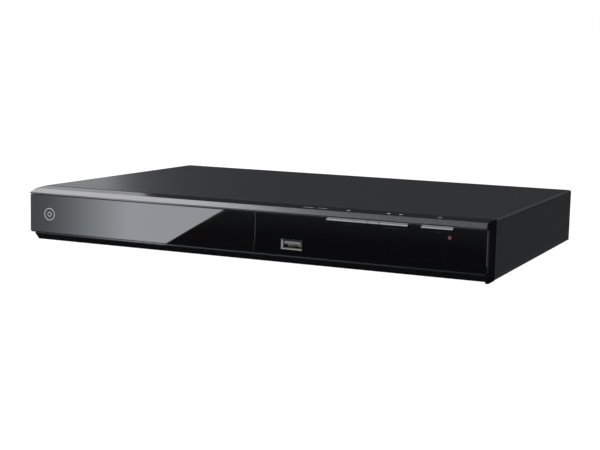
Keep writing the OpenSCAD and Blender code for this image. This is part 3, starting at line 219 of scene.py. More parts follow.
card("bright_table", [(edge_far[0], far), edge_far, (slant_x + 1, near), (slant_x + 12, front_mm),
                      (BRIGHT_LEFT, front_mm), (BRIGHT_LEFT, far)], fan)

table = bpy.data.meshes.new("table")
table.from_pydata([(-6, -6, 0), (6, -6, 0), (6, 6, 0), (-6, 6, 0)], [], [(0, 1, 2, 3)])
floor = bpy.data.objects.new("table", table)
bpy.context.scene.collection.objects.link(floor)
paper = bpy.data.materials.new("white_paper")
paper.use_nodes = True
paper.node_tree.nodes.clear()
sheet = Nodes(paper.node_tree)
seen = sheet.add("ShaderNodeLightPath", out=0).most(sheet.add("ShaderNodeLightPath", out=3))
matt = sheet.add("ShaderNodeBsdfDiffuse", {}, {"Color": (0.84, 0.84, 0.84)})
plain = sheet.add("ShaderNodeEmission", {}, {"Color": (1, 1, 1), "Strength": 1.16})
mixed = sheet.add("ShaderNodeMixShader", {}, {0: seen * 0.9, 1: matt, 2: plain})
sheet.add("ShaderNodeOutputMaterial", {}, {"Surface": mixed})
table.materials.append(paper)

world = bpy.data.worlds.new("studio")
world.use_nodes = True
world.node_tree.nodes.clear()
sky = Nodes(world.node_tree)
rays = [sky.add("ShaderNodeLightPath", out=k) for k in (0, 3, 6)]      # camera, glossy, transmission
shown = rays[0].most(rays[1]).most(rays[2])
air = sky.add("ShaderNodeBackground", {}, {"Color": (1, 1, 1), "Strength": shown * 0.3 + 0.7})
sky.add("ShaderNodeOutputWorld", {}, {"Surface": air})
bpy.context.scene.world = world

lamp = bpy.data.lights.new("key_light", "AREA")
lamp.shape, lamp.size, lamp.size_y, lamp.energy = "RECTANGLE", 1.2, 0.9, 24
key_light = bpy.data.objects.new("key_light", lamp)
key_light.location = (-0.7, -1.2, 1.7)
aim = Vector((0, 0, 0.02)) - key_light.location
key_light.rotation_euler = aim.to_track_quat("-Z", "Y").to_euler()
key_light.visible_glossy = False             # the cards and flags alone are seen in gloss
bpy.context.scene.collection.objects.link(key_light)

# The camera stands and looks as the one that took the photograph.
eye = bpy.data.cameras.new("camera")
eye.lens, eye.sensor_width = 75.706, 36
eye.clip_start, eye.clip_end = 0.01, 50
camera = bpy.data.objects.new("camera", eye)
bpy.context.scene.collection.objects.link(camera)
yaw, pitch, roll = (math.radians(a) for a in (24.341, -7.697, 1.341))
level = Vector((-math.sin(yaw), math.cos(yaw), 0))
up = Vector((0, 0, 1))
ahead = level * math.cos(pitch) + up * math.sin(pitch)
right = Vector((math.cos(yaw), math.sin(yaw), 0))
above = -level * math.sin(pitch) + up * math.cos(pitch)
side = right * math.cos(roll) + above * math.sin(roll)
head = above * math.cos(roll) - right * math.sin(roll)
camera.matrix_world = Matrix.Translation(EYE * MM) @ Matrix((side, head, -ahead)).transposed().to_4x4()
bpy.context.scene.camera = camera
bpy.context.scene.view_settings.view_transform = "Standard"


# ---------------------------------------------------------------------------
# The top cover: sheet steel folded over the top and both sides, with a lip at the back.
# Its outside has a fine textured powder paint, satin black. The folds and the cut edges are soft.
# ---------------------------------------------------------------------------
class Finish(Nodes):
    """A finish: one shader, whose sockets that are the same all over are set here."""

    def __init__(self, name, colour, rough, metal=0.0, **fixed):
        self.material = bpy.data.materials.new(name)
        self.material.use_nodes = True
        super().__init__(self.material.node_tree)
        self.shader = self.tree.nodes["Principled BSDF"]
        words = {key.replace("_", " "): value for key, value in fixed.items()}
        self.feed(self.shader, {"Base Color": colour, "Roughness": rough, "Metallic": metal, **words})

    def bump(self, height, depth, strength):
        """Relief of that many millimetres."""
        sockets = {"Height": height, "Distance": depth * MM, "Strength": strength}
        self.feed(self.shader, {"Normal": self.add("ShaderNodeBump", {}, sockets)})

    def worn(self, first, second, low, high, mask):
        """Colour and roughness that run between two values with a mask."""
        self.feed(self.shader, {"Base Color": self.between(mask, first, second),
                                "Roughness": mask * (high - low) + low})

    def on(self, *pieces):
        """Puts the finish on nodes, given by name, or on the scene's own pieces."""
        for piece in pieces:
            mesh = piece.data if hasattr(piece, "data") else nodes[piece].data
            mesh.materials.clear()
            mesh.materials.append(self.material)
            for face in mesh.polygons:
                face.material_index = 0


def clean(node):
    """A CAD node's solid as a welded mesh with whole faces."""
    shape = bmesh.new()
    shape.from_mesh(nodes[node].data)
    bmesh.ops.remove_doubles(shape, verts=shape.verts, dist=2e-6)
    bmesh.ops.dissolve_limit(shape, angle_limit=math.radians(0.3), verts=shape.verts, edges=shape.edges)
    return shape


def finished(shape, name, look, body, stands_for=(), bend=34):
    """Turns a shape into a piece with soft shading between its real edges."""
    mesh = bpy.data.meshes.new(name)
    shape.to_mesh(mesh)
    shape.free()
    obj = bpy.data.objects.new(name, mesh)
    bpy.context.scene.collection.objects.link(obj)
    mesh.polygons.foreach_set("use_smooth", [True] * len(mesh.polygons))
    mesh.set_sharp_from_angle(angle=math.radians(bend))
    even = obj.modifiers.new("even", "WEIGHTED_NORMAL")
    even.keep_sharp, even.weight = True, 100
    even_mesh = bpy.data.meshes.new_from_object(obj.evaluated_get(bpy.context.evaluated_depsgraph_get()))
    obj.modifiers.clear()
    obj.data = even_mesh
    look.on(obj)
    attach(obj, body)
    if stands_for:
        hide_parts(*stands_for)


def rounded(node, look, body, width, reshape=None):
    """A node's solid with its corners rounded over by that many millimetres."""
    shape = clean(node)
    if reshape:
        reshape(shape)
    corners = [e for e in shape.edges if len(e.link_faces) == 2 and e.calc_length() > 2.5 * width * MM
               and e.calc_face_angle(0) > math.radians(30)]
    bmesh.ops.bevel(shape, geom=corners, offset=width * MM, offset_type="OFFSET", segments=3,
                    profile=0.5, affect="EDGES", clamp_overlap=False)
    bmesh.ops.remove_doubles(shape, verts=shape.verts, dist=1e-6)
    finished(shape, node + "_finished", look, body, [node])


paint = Finish("cover_paint", (0.019, 0.0193, 0.0233), 0.3, Specular_IOR_Level=0.32)
mottle = paint.noise(0.55, 3.0)
paint.worn((0.0172, 0.0175, 0.0213), (0.0208, 0.0212, 0.0252), 0.27, 0.34, mottle)
paint.bump(paint.noise(0.35, 2.0), 0.03, 0.55)
rounded("top_cover", paint, "case", 0.18)


# ---------------------------------------------------------------------------
# The front bezel: one black moulding with a fine spark-eroded grain. It has the ledge behind the
# bright chamfer, both side cheeks and the plinth that steps back below the panels.
# ---------------------------------------------------------------------------
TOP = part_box("top_cover")[1].z / MM
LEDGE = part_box("chamfer_trim")[1].z / MM
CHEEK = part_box("chamfer_trim")[1].x / MM     # the chamfer ends at the cheeks
SLOPE_FRONT, LEDGE_BACK = 7, 16.6            # the ledge rises between these, behind the panels' face
COVER_EDGE = TOP - 0.2                       # where the ledge meets the cover
RISE = (COVER_EDGE - LEDGE) / (LEDGE_BACK - SLOPE_FRONT)
moulded = Finish("bezel_black", (0.005, 0.005, 0.0058), 0.45, Specular_IOR_Level=0.0,
                 Coat_Roughness=0.1, Coat_IOR=1.65)
moulded.worn((0.004, 0.004, 0.0046), (0.0062, 0.0062, 0.0071), 0.4, 0.52, moulded.noise(0.8, 3.0))
moulded.bump(moulded.noise(0.25, 2.0), 0.008, 0.3)
moulded.feed(moulded.shader, {"Coat Weight": moulded.axis("X").below((CHEEK + 0.05) * MM)})


def slope_ledge(shape):
    """The ledge rises to the cover. The left end follows the chamfer, and the right end closes it off."""
    # Depth behind the panels, height in the solid, and height of the left and of the right end.
    rim = [(0.2, 35.2, 35.1, 35.2), (0.5, 36.1, 35.35, 37.6), (1.3, 36.8, 35.6, 38.1),
           (2.5, 37.3, 35.95, 38.35), (4.5, 37.85, 36.55, 38.48), (7, 38.3, 37.3, 38.5),
           (10, 38.5, 37.6, 38.5), (LEDGE_BACK, 38.5, 38.2, 38.5)]
    close = 0.03
    for v in shape.verts:
        x, y, z = v.co.x / MM, v.co.y / MM - front_mm, v.co.z / MM
        for deep, old, left, right in rim:
            if abs(y - deep) < close and abs(z - old) < close and abs(x) > CHEEK - 0.01:
                v.co.z = (left if x < 0 else right) * MM
    sunk = LEDGE - 0.4
    wedge = [(SLOPE_FRONT, sunk), (SLOPE_FRONT, LEDGE), (LEDGE_BACK, COVER_EDGE), (LEDGE_BACK, sunk)]
    ends = []
    for x in (0.01 - CHEEK, CHEEK + 0.3):
        ends.append([shape.verts.new((x * MM, (front_mm + y) * MM, z * MM)) for y, z in wedge])
    for a in range(4):
        b = (a + 1) % 4
        shape.faces.new((ends[0][a], ends[0][b], ends[1][b], ends[1][a]))
    shape.faces.new(ends[0][::-1])
    shape.faces.new(ends[1])


rounded("front_bezel", moulded, "case", 0.15, reshape=slope_ledge)


# ---------------------------------------------------------------------------
# Legends: thin marks printed on the ledge over the keys, in one pale ink: plain dashes, and the
# open, stop, play and power signs. They are flat prints, 0.02 mm of ink.
# ---------------------------------------------------------------------------
ink = Finish("legend_ink", (0.42, 0.43, 0.45), 0.5)
ink.worn((0.38, 0.39, 0.41), (0.47, 0.48, 0.5), 0.45, 0.6, ink.noise(0.15, 1.0))
INK = 0.02                                   # thickness of the print


def printed(shape, outline):
    """A flat mark of ink on z = 0. Its outline is a ring of (x, y) in millimetres."""
    low = [shape.verts.new((x * MM, y * MM, 0)) for x, y in outline]
    high = [shape.verts.new((x * MM, y * MM, INK * MM)) for x, y in outline]
    shape.faces.new(high)
    shape.faces.new(low[::-1])
    for k in range(len(outline)):
        n = (k + 1) % len(outline)
        shape.faces.new((low[k], low[n], high[n], high[k]))


def bar(shape, x, y, w, d):
    """A printed bar, by its middle."""
    x0, x1, y0, y1 = x - w / 2, x + w / 2, y - d / 2, y + d / 2
    printed(shape, [(x0, y0), (x1, y0), (x1, y1), (x0, y1)])


def arc(shape, x, y, r, wide, start, stop, steps=20):
    """A ring or a part of one, in short marks. The angles are in degrees."""
    for k in range(steps):
        a, b = (math.radians(start + (stop - start) * (k + e) / steps) for e in (0, 1))
        corners = ((r, a), (r + wide, a), (r + wide, b), (r, b))
        printed(shape, [(x + reach * math.cos(turn), y + reach * math.sin(turn)) for reach, turn in corners])


signs = bmesh.new()
mid = front_mm + 11.7                        # the middle of the row
OPEN_X, STOP_X, PLAY_X, POWER_X = 66.55, 92.05, 98.7, 123.5
for x, w in ((40.4, 6.8), (49.7, 5.8)):
    bar(signs, x, mid, w, 0.55)
printed(signs, [(OPEN_X - 1.25, mid - 0.35), (OPEN_X + 1.25, mid - 0.35), (OPEN_X, mid + 1.1)])
bar(signs, OPEN_X, mid - 0.85, 2.5, 0.45)
bar(signs, STOP_X, mid, 1.9, 1.9)
printed(signs, [(PLAY_X, mid - 1.05), (PLAY_X + 2.2, mid), (PLAY_X, mid + 1.05)])
arc(signs, POWER_X, mid - 0.1, 0.85, 0.32, 115, 425)
bar(signs, POWER_X, mid + 0.75, 0.34, 1.1)
for v in signs.verts:
    v.co.z += (LEDGE + RISE * (v.co.y / MM - front_mm - SLOPE_FRONT)) * MM
bmesh.ops.recalc_face_normals(signs, faces=signs.faces)
finished(signs, "ledge_signs", ink, "case")


# ---------------------------------------------------------------------------
# The chamfer trim: a bright gunmetal strip along the upper front edge, with a darker lip under it.
# Anodised aluminium, brushed along its length.
# ---------------------------------------------------------------------------
gunmetal = Finish("trim_gunmetal", (0.38, 0.386, 0.4), 0.22, 1.0)
brush = gunmetal.noise(0.16, 3.0, (0.02, 1, 1))
lip = gunmetal.axis("Z").below((LEDGE - 2.15) * MM)          # below the chamfer's front edge
bright = gunmetal.between(brush, (0.36, 0.366, 0.38), (0.41, 0.416, 0.43))
gunmetal.feed(gunmetal.shader, {"Base Color": gunmetal.between(lip, bright, (0.08, 0.08, 0.084)),
                                "Roughness": brush * 0.08 + 0.22 + lip * 0.2})
gunmetal.bump(brush, 0.01, 0.35)
LEFT_END = -155.97                           # just inside the cover's left side


def wide_left(shape):
    """The trim runs on over the left end of the bezel."""
    for v in shape.verts:
        if v.co.x / MM < 0.1 - CHEEK:
            v.co.x = LEFT_END * MM


rounded("chamfer_trim", gunmetal, "case", 0.1, reshape=wide_left)


# ---------------------------------------------------------------------------
# The two glossy front panels: clear-coated black acrylic. The left one is the tray's own front and
# comes out with it. A small ring with a hub is printed on it, where a disc's sign would be.
# ---------------------------------------------------------------------------
def clear_coated(name, colour):
    """Gloss with the faintest waviness."""
    look = Finish(name, colour, 0.03, Specular_IOR_Level=0.5)
    look.feed(look.shader, {"Roughness": look.noise(30, 2.0) * 0.02 + 0.02})
    look.bump(look.noise(14, 2.0), 0.012, 0.25)
    return look


window_gloss = clear_coated("window_black", (0.0016, 0.0016, 0.0021))
rounded("front_window", window_gloss, "case", 0.12)
tray_gloss = clear_coated("tray_front_black", (0.0022, 0.0022, 0.0026))
rounded("tray_front", tray_gloss, "tray", 0.12)

SIGN_X, SIGN_Z = -140.4, 21.6
disc_sign = bmesh.new()
for inner, wide in ((3.6, 0.45), (1.15, 0.4)):
    arc(disc_sign, SIGN_X, SIGN_Z, inner, wide, 0, 360, 40)
bmesh.ops.recalc_face_normals(disc_sign, faces=disc_sign.faces)
# The ring is stood up on the panel's face, sunk into it by 0.01 mm.
disc_sign.transform(Matrix(((1, 0, 0, 0), (0, 0, -1, FRONT), (0, 1, 0, 0), (0, 0, 0, 1))))
bmesh.ops.translate(disc_sign, vec=(0, 0.01 * MM, 0), verts=disc_sign.verts)
finished(disc_sign, "disc_sign", ink, "tray")


# ---------------------------------------------------------------------------
# Keys: bars of moulded plastic with a satin gunmetal lacquer: open, a fixed spacer, stop and play
# on one rocker, and power.
# ---------------------------------------------------------------------------
lacquer = Finish("key_silver", (0.37, 0.374, 0.382), 0.09, 1.0, Specular_IOR_Level=0.5)
flake = lacquer.noise(0.12, 2.0)
lacquer.worn((0.35, 0.353, 0.36), (0.39, 0.394, 0.402), 0.07, 0.11, flake)
lacquer.bump(flake, 0.006, 0.3)
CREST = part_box("power_key")[1].z / MM - 1.6  # height of the noses' foremost line
CUT = front_mm - 0.1                         # the CAD key's own nose is cut off here
NOSE, ABOVE, BELOW = 1.6, 0.85, 1.9          # the new nose's reach, and its height above and under its crest


def nose(k):
    """The outline of a nose, scaled by k: a slope up to the crest, and a quarter of an ellipse."""
    slope = [(CUT - NOSE * k * (1 - 0.7 * t), CREST - BELOW * k * t) for t in (1, 0.92, 0.6, 0.3, 0)]
    turns = [math.radians(a) for a in range(9, 91, 9)]
    crown = [(CUT - NOSE * k * math.cos(a), CREST + ABOVE * k * math.sin(a)) for a in turns]
    return [(CUT, CREST - BELOW * k)] + slope + crown


def crowned(node, body):
    """A key whose nose is rounded above its crest and slopes back below it, on the CAD key's stem."""
    shape = clean(node)
    low, high = (c.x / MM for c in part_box(node))
    parts = shape.verts[:] + shape.edges[:] + shape.faces[:]
    bmesh.ops.bisect_plane(shape, geom=parts, plane_co=(0, CUT * MM, 0), plane_no=(0, -1, 0),
                           clear_outer=True)
    bmesh.ops.holes_fill(shape, edges=[e for e in shape.edges if e.is_boundary], sides=0)
    ends = [(0, 0.9), (0.12, 0.975), (0.3, 1)]                # the nose's ends are rounded over
    rings = []
    for x, k in [(low + e, k) for e, k in ends] + [(high - e, k) for e, k in ends[::-1]]:
        rings.append([shape.verts.new((x * MM, y * MM, z * MM)) for y, z in nose(k)])
    for one, two in zip(rings, rings[1:]):
        for a, b in zip(range(len(one)), [*range(1, len(one)), 0]):
            shape.faces.new((one[a], one[b], two[b], two[a]))
    shape.faces.new(rings[0][::-1])
    shape.faces.new(rings[-1])
    bmesh.ops.recalc_face_normals(shape, faces=shape.faces)
    finished(shape, node + "_finished", lacquer, body, [node], 25)


for key, body in (("open_key", "open_key"), ("key_spacer", "case"),
                  ("stop_play_rocker", "rocker"), ("power_key", "power_key")):
    crowned(key, body)


# ---------------------------------------------------------------------------
# The standby light: a small lens of clear red plastic in the panel, lit dimly from behind.
# ---------------------------------------------------------------------------
red = Finish("light_red", (0.1, 0.008, 0.008), 0.12, Specular_IOR_Level=0.5)
cloudy = red.between(red.noise(0.6, 1.0), (0.065, 0.014, 0.017), (0.1, 0.024, 0.028))
red.feed(red.shader, {"Base Color": cloudy, "Emission Color": (1.0, 0.45, 0.52), "Emission Strength": 0.05})
rounded("standby_light", red, "case", 0.15)


# ---------------------------------------------------------------------------
# Plated sockets: the front port's shell and the video port's, bent from tinned steel, with painted shade in
# the front port's mouth.
# ---------------------------------------------------------------------------
plate = Finish("socket_shell", (0.62, 0.62, 0.6), 0.28, 1.0)
plate.bump(plate.noise(0.3, 2.0), 0.008, 0.3)


def within(node, inward):
    """A mask for what lies that far inside a socket's shell, as seen from the front."""
    low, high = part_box(node)
    wide, tall = (plate.axis(k) - (a + b) / 2 for k, a, b in (("X", low.x, high.x), ("Z", low.z, high.z)))
    half_wide, half_tall = ((b - a) / 2 - inward * MM for a, b in ((low.x, high.x), (low.z, high.z)))
    inner = wide.size().below(half_wide) * tall.size().below(half_tall)
    return inner * plate.axis("Y").above(low.y - MM) * plate.axis("Y").below(high.y + MM)


tongue = within("usb_socket", 0.9).most(within("hdmi_socket", 0.8))
# Painted shade: the USB shell, up to 9 mm behind the panels' face, is painted near-black for the shade
# inside its opening.
painted_port_shade = within("usb_socket", -0.1) * plate.axis("Y").below((front_mm + 9) * MM)
tin_and_painted_shade = plate.between(plate.noise(0.7, 3.0), (0.55, 0.55, 0.53), (0.68, 0.68, 0.66))
tin_and_painted_shade = plate.between(painted_port_shade, tin_and_painted_shade, (0.06, 0.06, 0.06))
plate.feed(plate.shader, {"Base Color": plate.between(tongue, tin_and_painted_shade, (0.2, 0.2, 0.205)),
                          "Metallic": 1 - tongue})
rounded("usb_socket", plate, "case", 0.08)
rounded("hdmi_socket", plate, "case", 0.08)

lip_tin = Finish("socket_lip", (0.42, 0.42, 0.415), 0.35, 0.2, Specular_IOR_Level=0.5)
lip_tin.worn((0.38, 0.38, 0.375), (0.46, 0.46, 0.455), 0.28, 0.42, lip_tin.noise(0.5, 3.0))
low, high = (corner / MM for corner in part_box("usb_socket"))
MOUTH, INSIDE = (-0.22,) * 4, (0.75, 0.5, 0.12, 0.12)          # insets: left, bottom, top and right
flare = bmesh.new()
rings = []
for y, inset, thick in ((low.y - 0.3, MOUTH, 0), (low.y + 0.45, INSIDE, 0),
                        (low.y + 0.45, INSIDE, 0.1), (low.y - 0.2, MOUTH, 0.1)):
    x0, x1 = low.x + inset[0] - thick, high.x - inset[3] + thick
    z0, z1 = low.z + inset[1] - thick, high.z - inset[2] + thick
    corners = ((x0, z0), (x1, z0), (x1, z1), (x0, z1))
    rings.append([flare.verts.new((x * MM, y * MM, z * MM)) for x, z in corners])
for one, two in zip(rings, rings[1:] + rings[:1]):
    for a in range(4):
        flare.faces.new((one[a], one[(a + 1) % 4], two[(a + 1) % 4], two[a]))
bmesh.ops.recalc_face_normals(flare, faces=flare.faces)
finished(flare, "port_lip", lip_tin, "case")


# ---------------------------------------------------------------------------
# Galvanised steel: the chassis pan, the rear panel and the clamper's bridge, pressed from
# zinc-coated sheet that shows its spangle faintly.
# ---------------------------------------------------------------------------
zinc = Finish("zinc_steel", (0.46, 0.465, 0.47), 0.36, 1.0)
grains = {"Vector": zinc.place(), "Scale": 1 / (5 * MM)}
spangle = zinc.add("ShaderNodeTexVoronoi", {"feature": "F1"}, grains, out=1)
grey = zinc.add("ShaderNodeRGBToBW", {}, {0: spangle})
zinc.worn((0.4, 0.405, 0.41), (0.53, 0.535, 0.54), 0.3, 0.44, grey * 0.5 + zinc.noise(0.5, 2.0) * 0.5)
zinc.bump(zinc.noise(0.4, 2.0), 0.01, 0.3)
rounded("rear_panel", zinc, "case", 0.12)
rounded("bottom_chassis", zinc, "case", 0.15)
zinc.on("clamper_bridge")


# ---------------------------------------------------------------------------
# Feet: four soft rubber discs with a stem that snaps through the pan. The rubber is matt, with a
# fine grain.
# ---------------------------------------------------------------------------
rubber = Finish("foot_rubber", (0.018, 0.018, 0.018), 0.75, Specular_IOR_Level=0.3)
rubber.worn((0.014, 0.014, 0.014), (0.024, 0.024, 0.023), 0.68, 0.85, rubber.noise(0.9, 3.0))
rubber.bump(rubber.noise(0.3, 2.0), 0.03, 0.5)
rounded("rubber_feet", rubber, "case", 0.3)


# ---------------------------------------------------------------------------
# The disc tray: a black moulding with the recess for the disc, the slot for the deck and the rack.
# It slides in the loader's frame and carries the left panel.
# ---------------------------------------------------------------------------
tray_plastic = Finish("tray_black", (0.02, 0.02, 0.021), 0.45, Specular_IOR_Level=0.45)
tray_plastic.worn((0.017, 0.017, 0.018), (0.024, 0.024, 0.025), 0.4, 0.52, tray_plastic.noise(0.9, 3.0))
tray_plastic.bump(tray_plastic.noise(0.3, 2.0), 0.02, 0.5)
rounded("disc_tray", tray_plastic, "tray", 0.2)


# ---------------------------------------------------------------------------
# The screws: black pan heads hold the cover, and bright zinc-plated ones the inside. All have a
# cross recess.
# ---------------------------------------------------------------------------
def smooth(node, look, body):
    """A round CAD piece, shaded smoothly between its real edges."""
    finished(clean(node), node + "_finished", look, body, [node])


black_oxide = Finish("screw_black", (0.03, 0.03, 0.032), 0.38, 0.8)
black_oxide.worn((0.022, 0.022, 0.024), (0.05, 0.05, 0.052), 0.32, 0.5, black_oxide.noise(0.4, 3.0))
black_oxide.bump(black_oxide.noise(0.2, 2.0), 0.005, 0.4)
smooth("cover_screws", black_oxide, "case")

screw_zinc = Finish("screw_steel", (0.55, 0.55, 0.53), 0.3, 1.0)
screw_zinc.worn((0.45, 0.45, 0.42), (0.64, 0.63, 0.6), 0.24, 0.42, screw_zinc.noise(0.5, 3.0))
screw_zinc.bump(screw_zinc.noise(0.2, 2.0), 0.005, 0.3)
for node in ("loader_screws", "bridge_screws", "board_screws"):
    smooth(node, screw_zinc, "case")


# ---------------------------------------------------------------------------
# The boards: green glass-epoxy for logic, with tracks under the lacquer and tinned pads, and tan
# paper laminate for mains, with its fibres and a few broad tracks showing through.
# ---------------------------------------------------------------------------
class Board(Finish):
    """A finish with printed tracks and solder pads."""

    def tracks(self, patch, pitch, share):
        """Lines along X in some patches and along Y in the others."""
        sockets = {"Vector": self.place(), "Scale": 1 / (patch * MM)}
        cell = self.add("ShaderNodeTexVoronoi", {"distance": "CHEBYCHEV"}, sockets, out=1)
        turn = self.add("ShaderNodeRGBToBW", {}, {0: cell}).above(0.5)
        along, over = ((self.axis(k) / (pitch * MM)).part().below(share) for k in "XY")
        return turn * along + (1 - turn) * over

    def pads(self, pitch, radius):
        """Round spots, scattered about that far apart."""
        sockets = {"Vector": self.place(), "Scale": 1 / (pitch * MM), "Randomness": 0.75}
        return self.add("ShaderNodeTexVoronoi", {}, sockets).below(radius / pitch)


green = Board("board_green", (0.012, 0.09, 0.036), 0.38, Specular_IOR_Level=0.5)
copper = green.tracks(7, 1.3, 0.42)
pad = green.pads(4.2, 0.55)
mask = green.between(copper * 0.8 + green.noise(3, 2.0) * 0.2, (0.009, 0.062, 0.027), (0.02, 0.125, 0.05))
green.feed(green.shader, {"Base Color": green.between(pad, mask, (0.55, 0.55, 0.5)),
                          "Metallic": pad, "Roughness": 0.4 - pad * 0.08})
green.bump(copper + pad, 0.03, 0.5)
green.on("front_board", "main_board")

tan = Board("board_tan", (0.32, 0.19, 0.08), 0.5, Specular_IOR_Level=0.4)
broad = tan.tracks(16, 5.5, 0.6)
fibre = tan.noise(0.6, 3.0, (0.25, 1, 1))
solder = tan.pads(7, 0.9)
laminate = tan.between(fibre * 0.6 + broad * 0.4, (0.27, 0.155, 0.062), (0.38, 0.235, 0.105))
tan.feed(tan.shader, {"Base Color": tan.between(solder, laminate, (0.52, 0.52, 0.48)),
                      "Metallic": solder, "Roughness": 0.52 - solder * 0.15})
tan.bump(broad + solder * 2, 0.03, 0.4)
tan.on("power_board")


# ---------------------------------------------------------------------------
# Chips, switches and the remote receiver: black epoxy and moulded plastic with a matt grain, all
# soldered to the boards.
# ---------------------------------------------------------------------------
epoxy = Finish("part_black", (0.017, 0.017, 0.018), 0.5, Specular_IOR_Level=0.45)
epoxy.worn((0.013, 0.013, 0.014), (0.024, 0.024, 0.025), 0.42, 0.6, epoxy.noise(0.5, 3.0))
epoxy.bump(epoxy.noise(0.12, 2.0), 0.01, 0.5)
rounded("main_chips", epoxy, "case", 0.12)
smooth("tact_switches", epoxy, "case")
smooth("remote_receiver", epoxy, "case")


# ---------------------------------------------------------------------------
# Heat sinks: extruded aluminium over the processor and beside the regulator, with the fine lines
# that the die leaves.
# ---------------------------------------------------------------------------
extruded = Finish("heat_sink_aluminium", (0.6, 0.6, 0.61), 0.36, 1.0)
drawn = extruded.noise(0.3, 3.0, (1, 0.04, 0.04))
extruded.worn((0.5, 0.5, 0.51), (0.68, 0.68, 0.69), 0.3, 0.46, drawn)
extruded.bump(drawn, 0.01, 0.4)
rounded("processor_heat_sink", extruded, "case", 0.12)
rounded("regulator_heat_sink", extruded, "case", 0.12)


# ---------------------------------------------------------------------------
# Capacitors: aluminium cans in a dark printed sleeve, with a bare top and a pale stripe for the
# negative pin. They stand on the main board and the power board.
# ---------------------------------------------------------------------------
sleeve = Finish("capacitor_sleeve", (0.02, 0.028, 0.06), 0.3, Specular_IOR_Level=0.5)
facing = sleeve.add("ShaderNodeTexCoord", out=1)
facing_x, facing_up = (sleeve.add("ShaderNodeSeparateXYZ", {}, {0: facing}, out=k) for k in (0, 2))
bare, stripe = facing_up.above(0.7), facing_x.above(0.9)
film = sleeve.between(sleeve.noise(1.2, 2.0), (0.016, 0.023, 0.05), (0.025, 0.034, 0.072))
film = sleeve.between(stripe, film, (0.5, 0.52, 0.54))
sleeve.feed(sleeve.shader, {"Base Color": sleeve.between(bare, film, (0.62, 0.62, 0.62)), "Metallic": bare,
                            "Roughness": sleeve.noise(0.8, 2.0) * 0.1 + 0.26})
sleeve.bump(sleeve.noise(0.5, 2.0), 0.006, 0.3)
smooth("board_capacitors", sleeve, "case")
smooth("bulk_capacitors", sleeve, "case")


# ---------------------------------------------------------------------------
# Sockets at the back: three phono jacks in one black block, each a plated tube in a coloured
# collar for its signal, and the two-pin mains inlet.
# ---------------------------------------------------------------------------
jack = Finish("jack_body", (0.018, 0.018, 0.019), 0.42, Specular_IOR_Level=0.45)
low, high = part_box("av_jacks")
middle = (low.x + high.x) / 2
PITCH, TUBE, JACK_Z = 14 * MM, 4.2 * MM, 17.6 * MM
PANEL_OUT, COLLAR_OUT = 101.4 * MM, 102.3 * MM
ring_tone = jack.between(jack.axis("X").above(middle - PITCH / 2), (0.75, 0.52, 0.02), (0.72, 0.72, 0.7))
ring_tone = jack.between(jack.axis("X").above(middle + PITCH / 2), ring_tone, (0.55, 0.02, 0.015))
nearest = (jack.axis("X") - (middle - 1.5 * PITCH)) / PITCH
off_x = (nearest.part() - 0.5) * PITCH
off_z = jack.axis("Z") - JACK_Z
radius = (off_x * off_x + off_z * off_z) ** 0.5
outside = jack.axis("Y").above(PANEL_OUT)
collar = outside * radius.above(TUBE) * jack.axis("Y").below(COLLAR_OUT)
plated = outside * radius.below(TUBE)
body_tone = jack.between(jack.noise(0.6, 2.0), (0.014, 0.014, 0.015), (0.023, 0.023, 0.024))
jack_tone = jack.between(plated, jack.between(collar, body_tone, ring_tone), (0.66, 0.65, 0.62))
jack.feed(jack.shader, {"Base Color": jack_tone, "Metallic": plated,
                        "Roughness": jack.noise(0.5, 2.0) * 0.12 + 0.3})
jack.bump(jack.noise(0.3, 2.0), 0.01, 0.3)
smooth("av_jacks", jack, "case")

inlet = Finish("inlet_black", (0.016, 0.016, 0.017), 0.4, Specular_IOR_Level=0.45)
low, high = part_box("mains_inlet")
PIN_APART, PIN_R, PIN_LONG = 4.3 * MM, 1.3 * MM, 13 * MM       # half the distance between the two pins
off_x = (inlet.axis("X") - (low.x + high.x) / 2).size() - PIN_APART
off_z = inlet.axis("Z") - JACK_Z
along_pin = inlet.axis("Y").above(high.y - PIN_LONG) * inlet.axis("Y").below(high.y - 0.5 * MM)
pin = (off_x * off_x + off_z * off_z).below(PIN_R ** 2) * along_pin
black = inlet.between(inlet.noise(0.7, 2.0), (0.012, 0.012, 0.013), (0.021, 0.021, 0.022))
inlet.feed(inlet.shader, {"Base Color": inlet.between(pin, black, (0.66, 0.65, 0.6)), "Metallic": pin,
                          "Roughness": inlet.noise(0.5, 2.0) * 0.12 + 0.34})
inlet.bump(inlet.noise(0.3, 2.0), 0.01, 0.3)
smooth("mains_inlet", inlet, "case")


# ---------------------------------------------------------------------------
# The power side: a ferrite transformer wound under yellow tape, a glass fuse in spring clips, and the
# grey film that keeps the power board off the pan.
# ---------------------------------------------------------------------------
tape = Finish("transformer_tape", (0.62, 0.45, 0.05), 0.4, Specular_IOR_Level=0.45)
low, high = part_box("power_transformer")
core = (tape.axis("Y") - (low.y + high.y) / 2).size().below(4.05 * MM)
base = tape.axis("Z").below(low.z + 3.05 * MM)
wound = (tape.axis("Z") / (4 * MM)).part().below(0.06)
yellow = tape.between(tape.noise(1.5, 2.0), (0.55, 0.4, 0.04), (0.68, 0.5, 0.07))
yellow = tape.between(wound, yellow, (0.35, 0.24, 0.02))
yellow = tape.between(core, yellow, (0.045, 0.043, 0.042))
tape.feed(tape.shader, {"Base Color": tape.between(base, yellow, (0.02, 0.02, 0.021)),
                        "Roughness": tape.noise(0.8, 2.0) * 0.16 + 0.36})
tape.bump(tape.noise(0.6, 2.0) + wound, 0.02, 0.4)
rounded("power_transformer", tape, "case", 0.35)

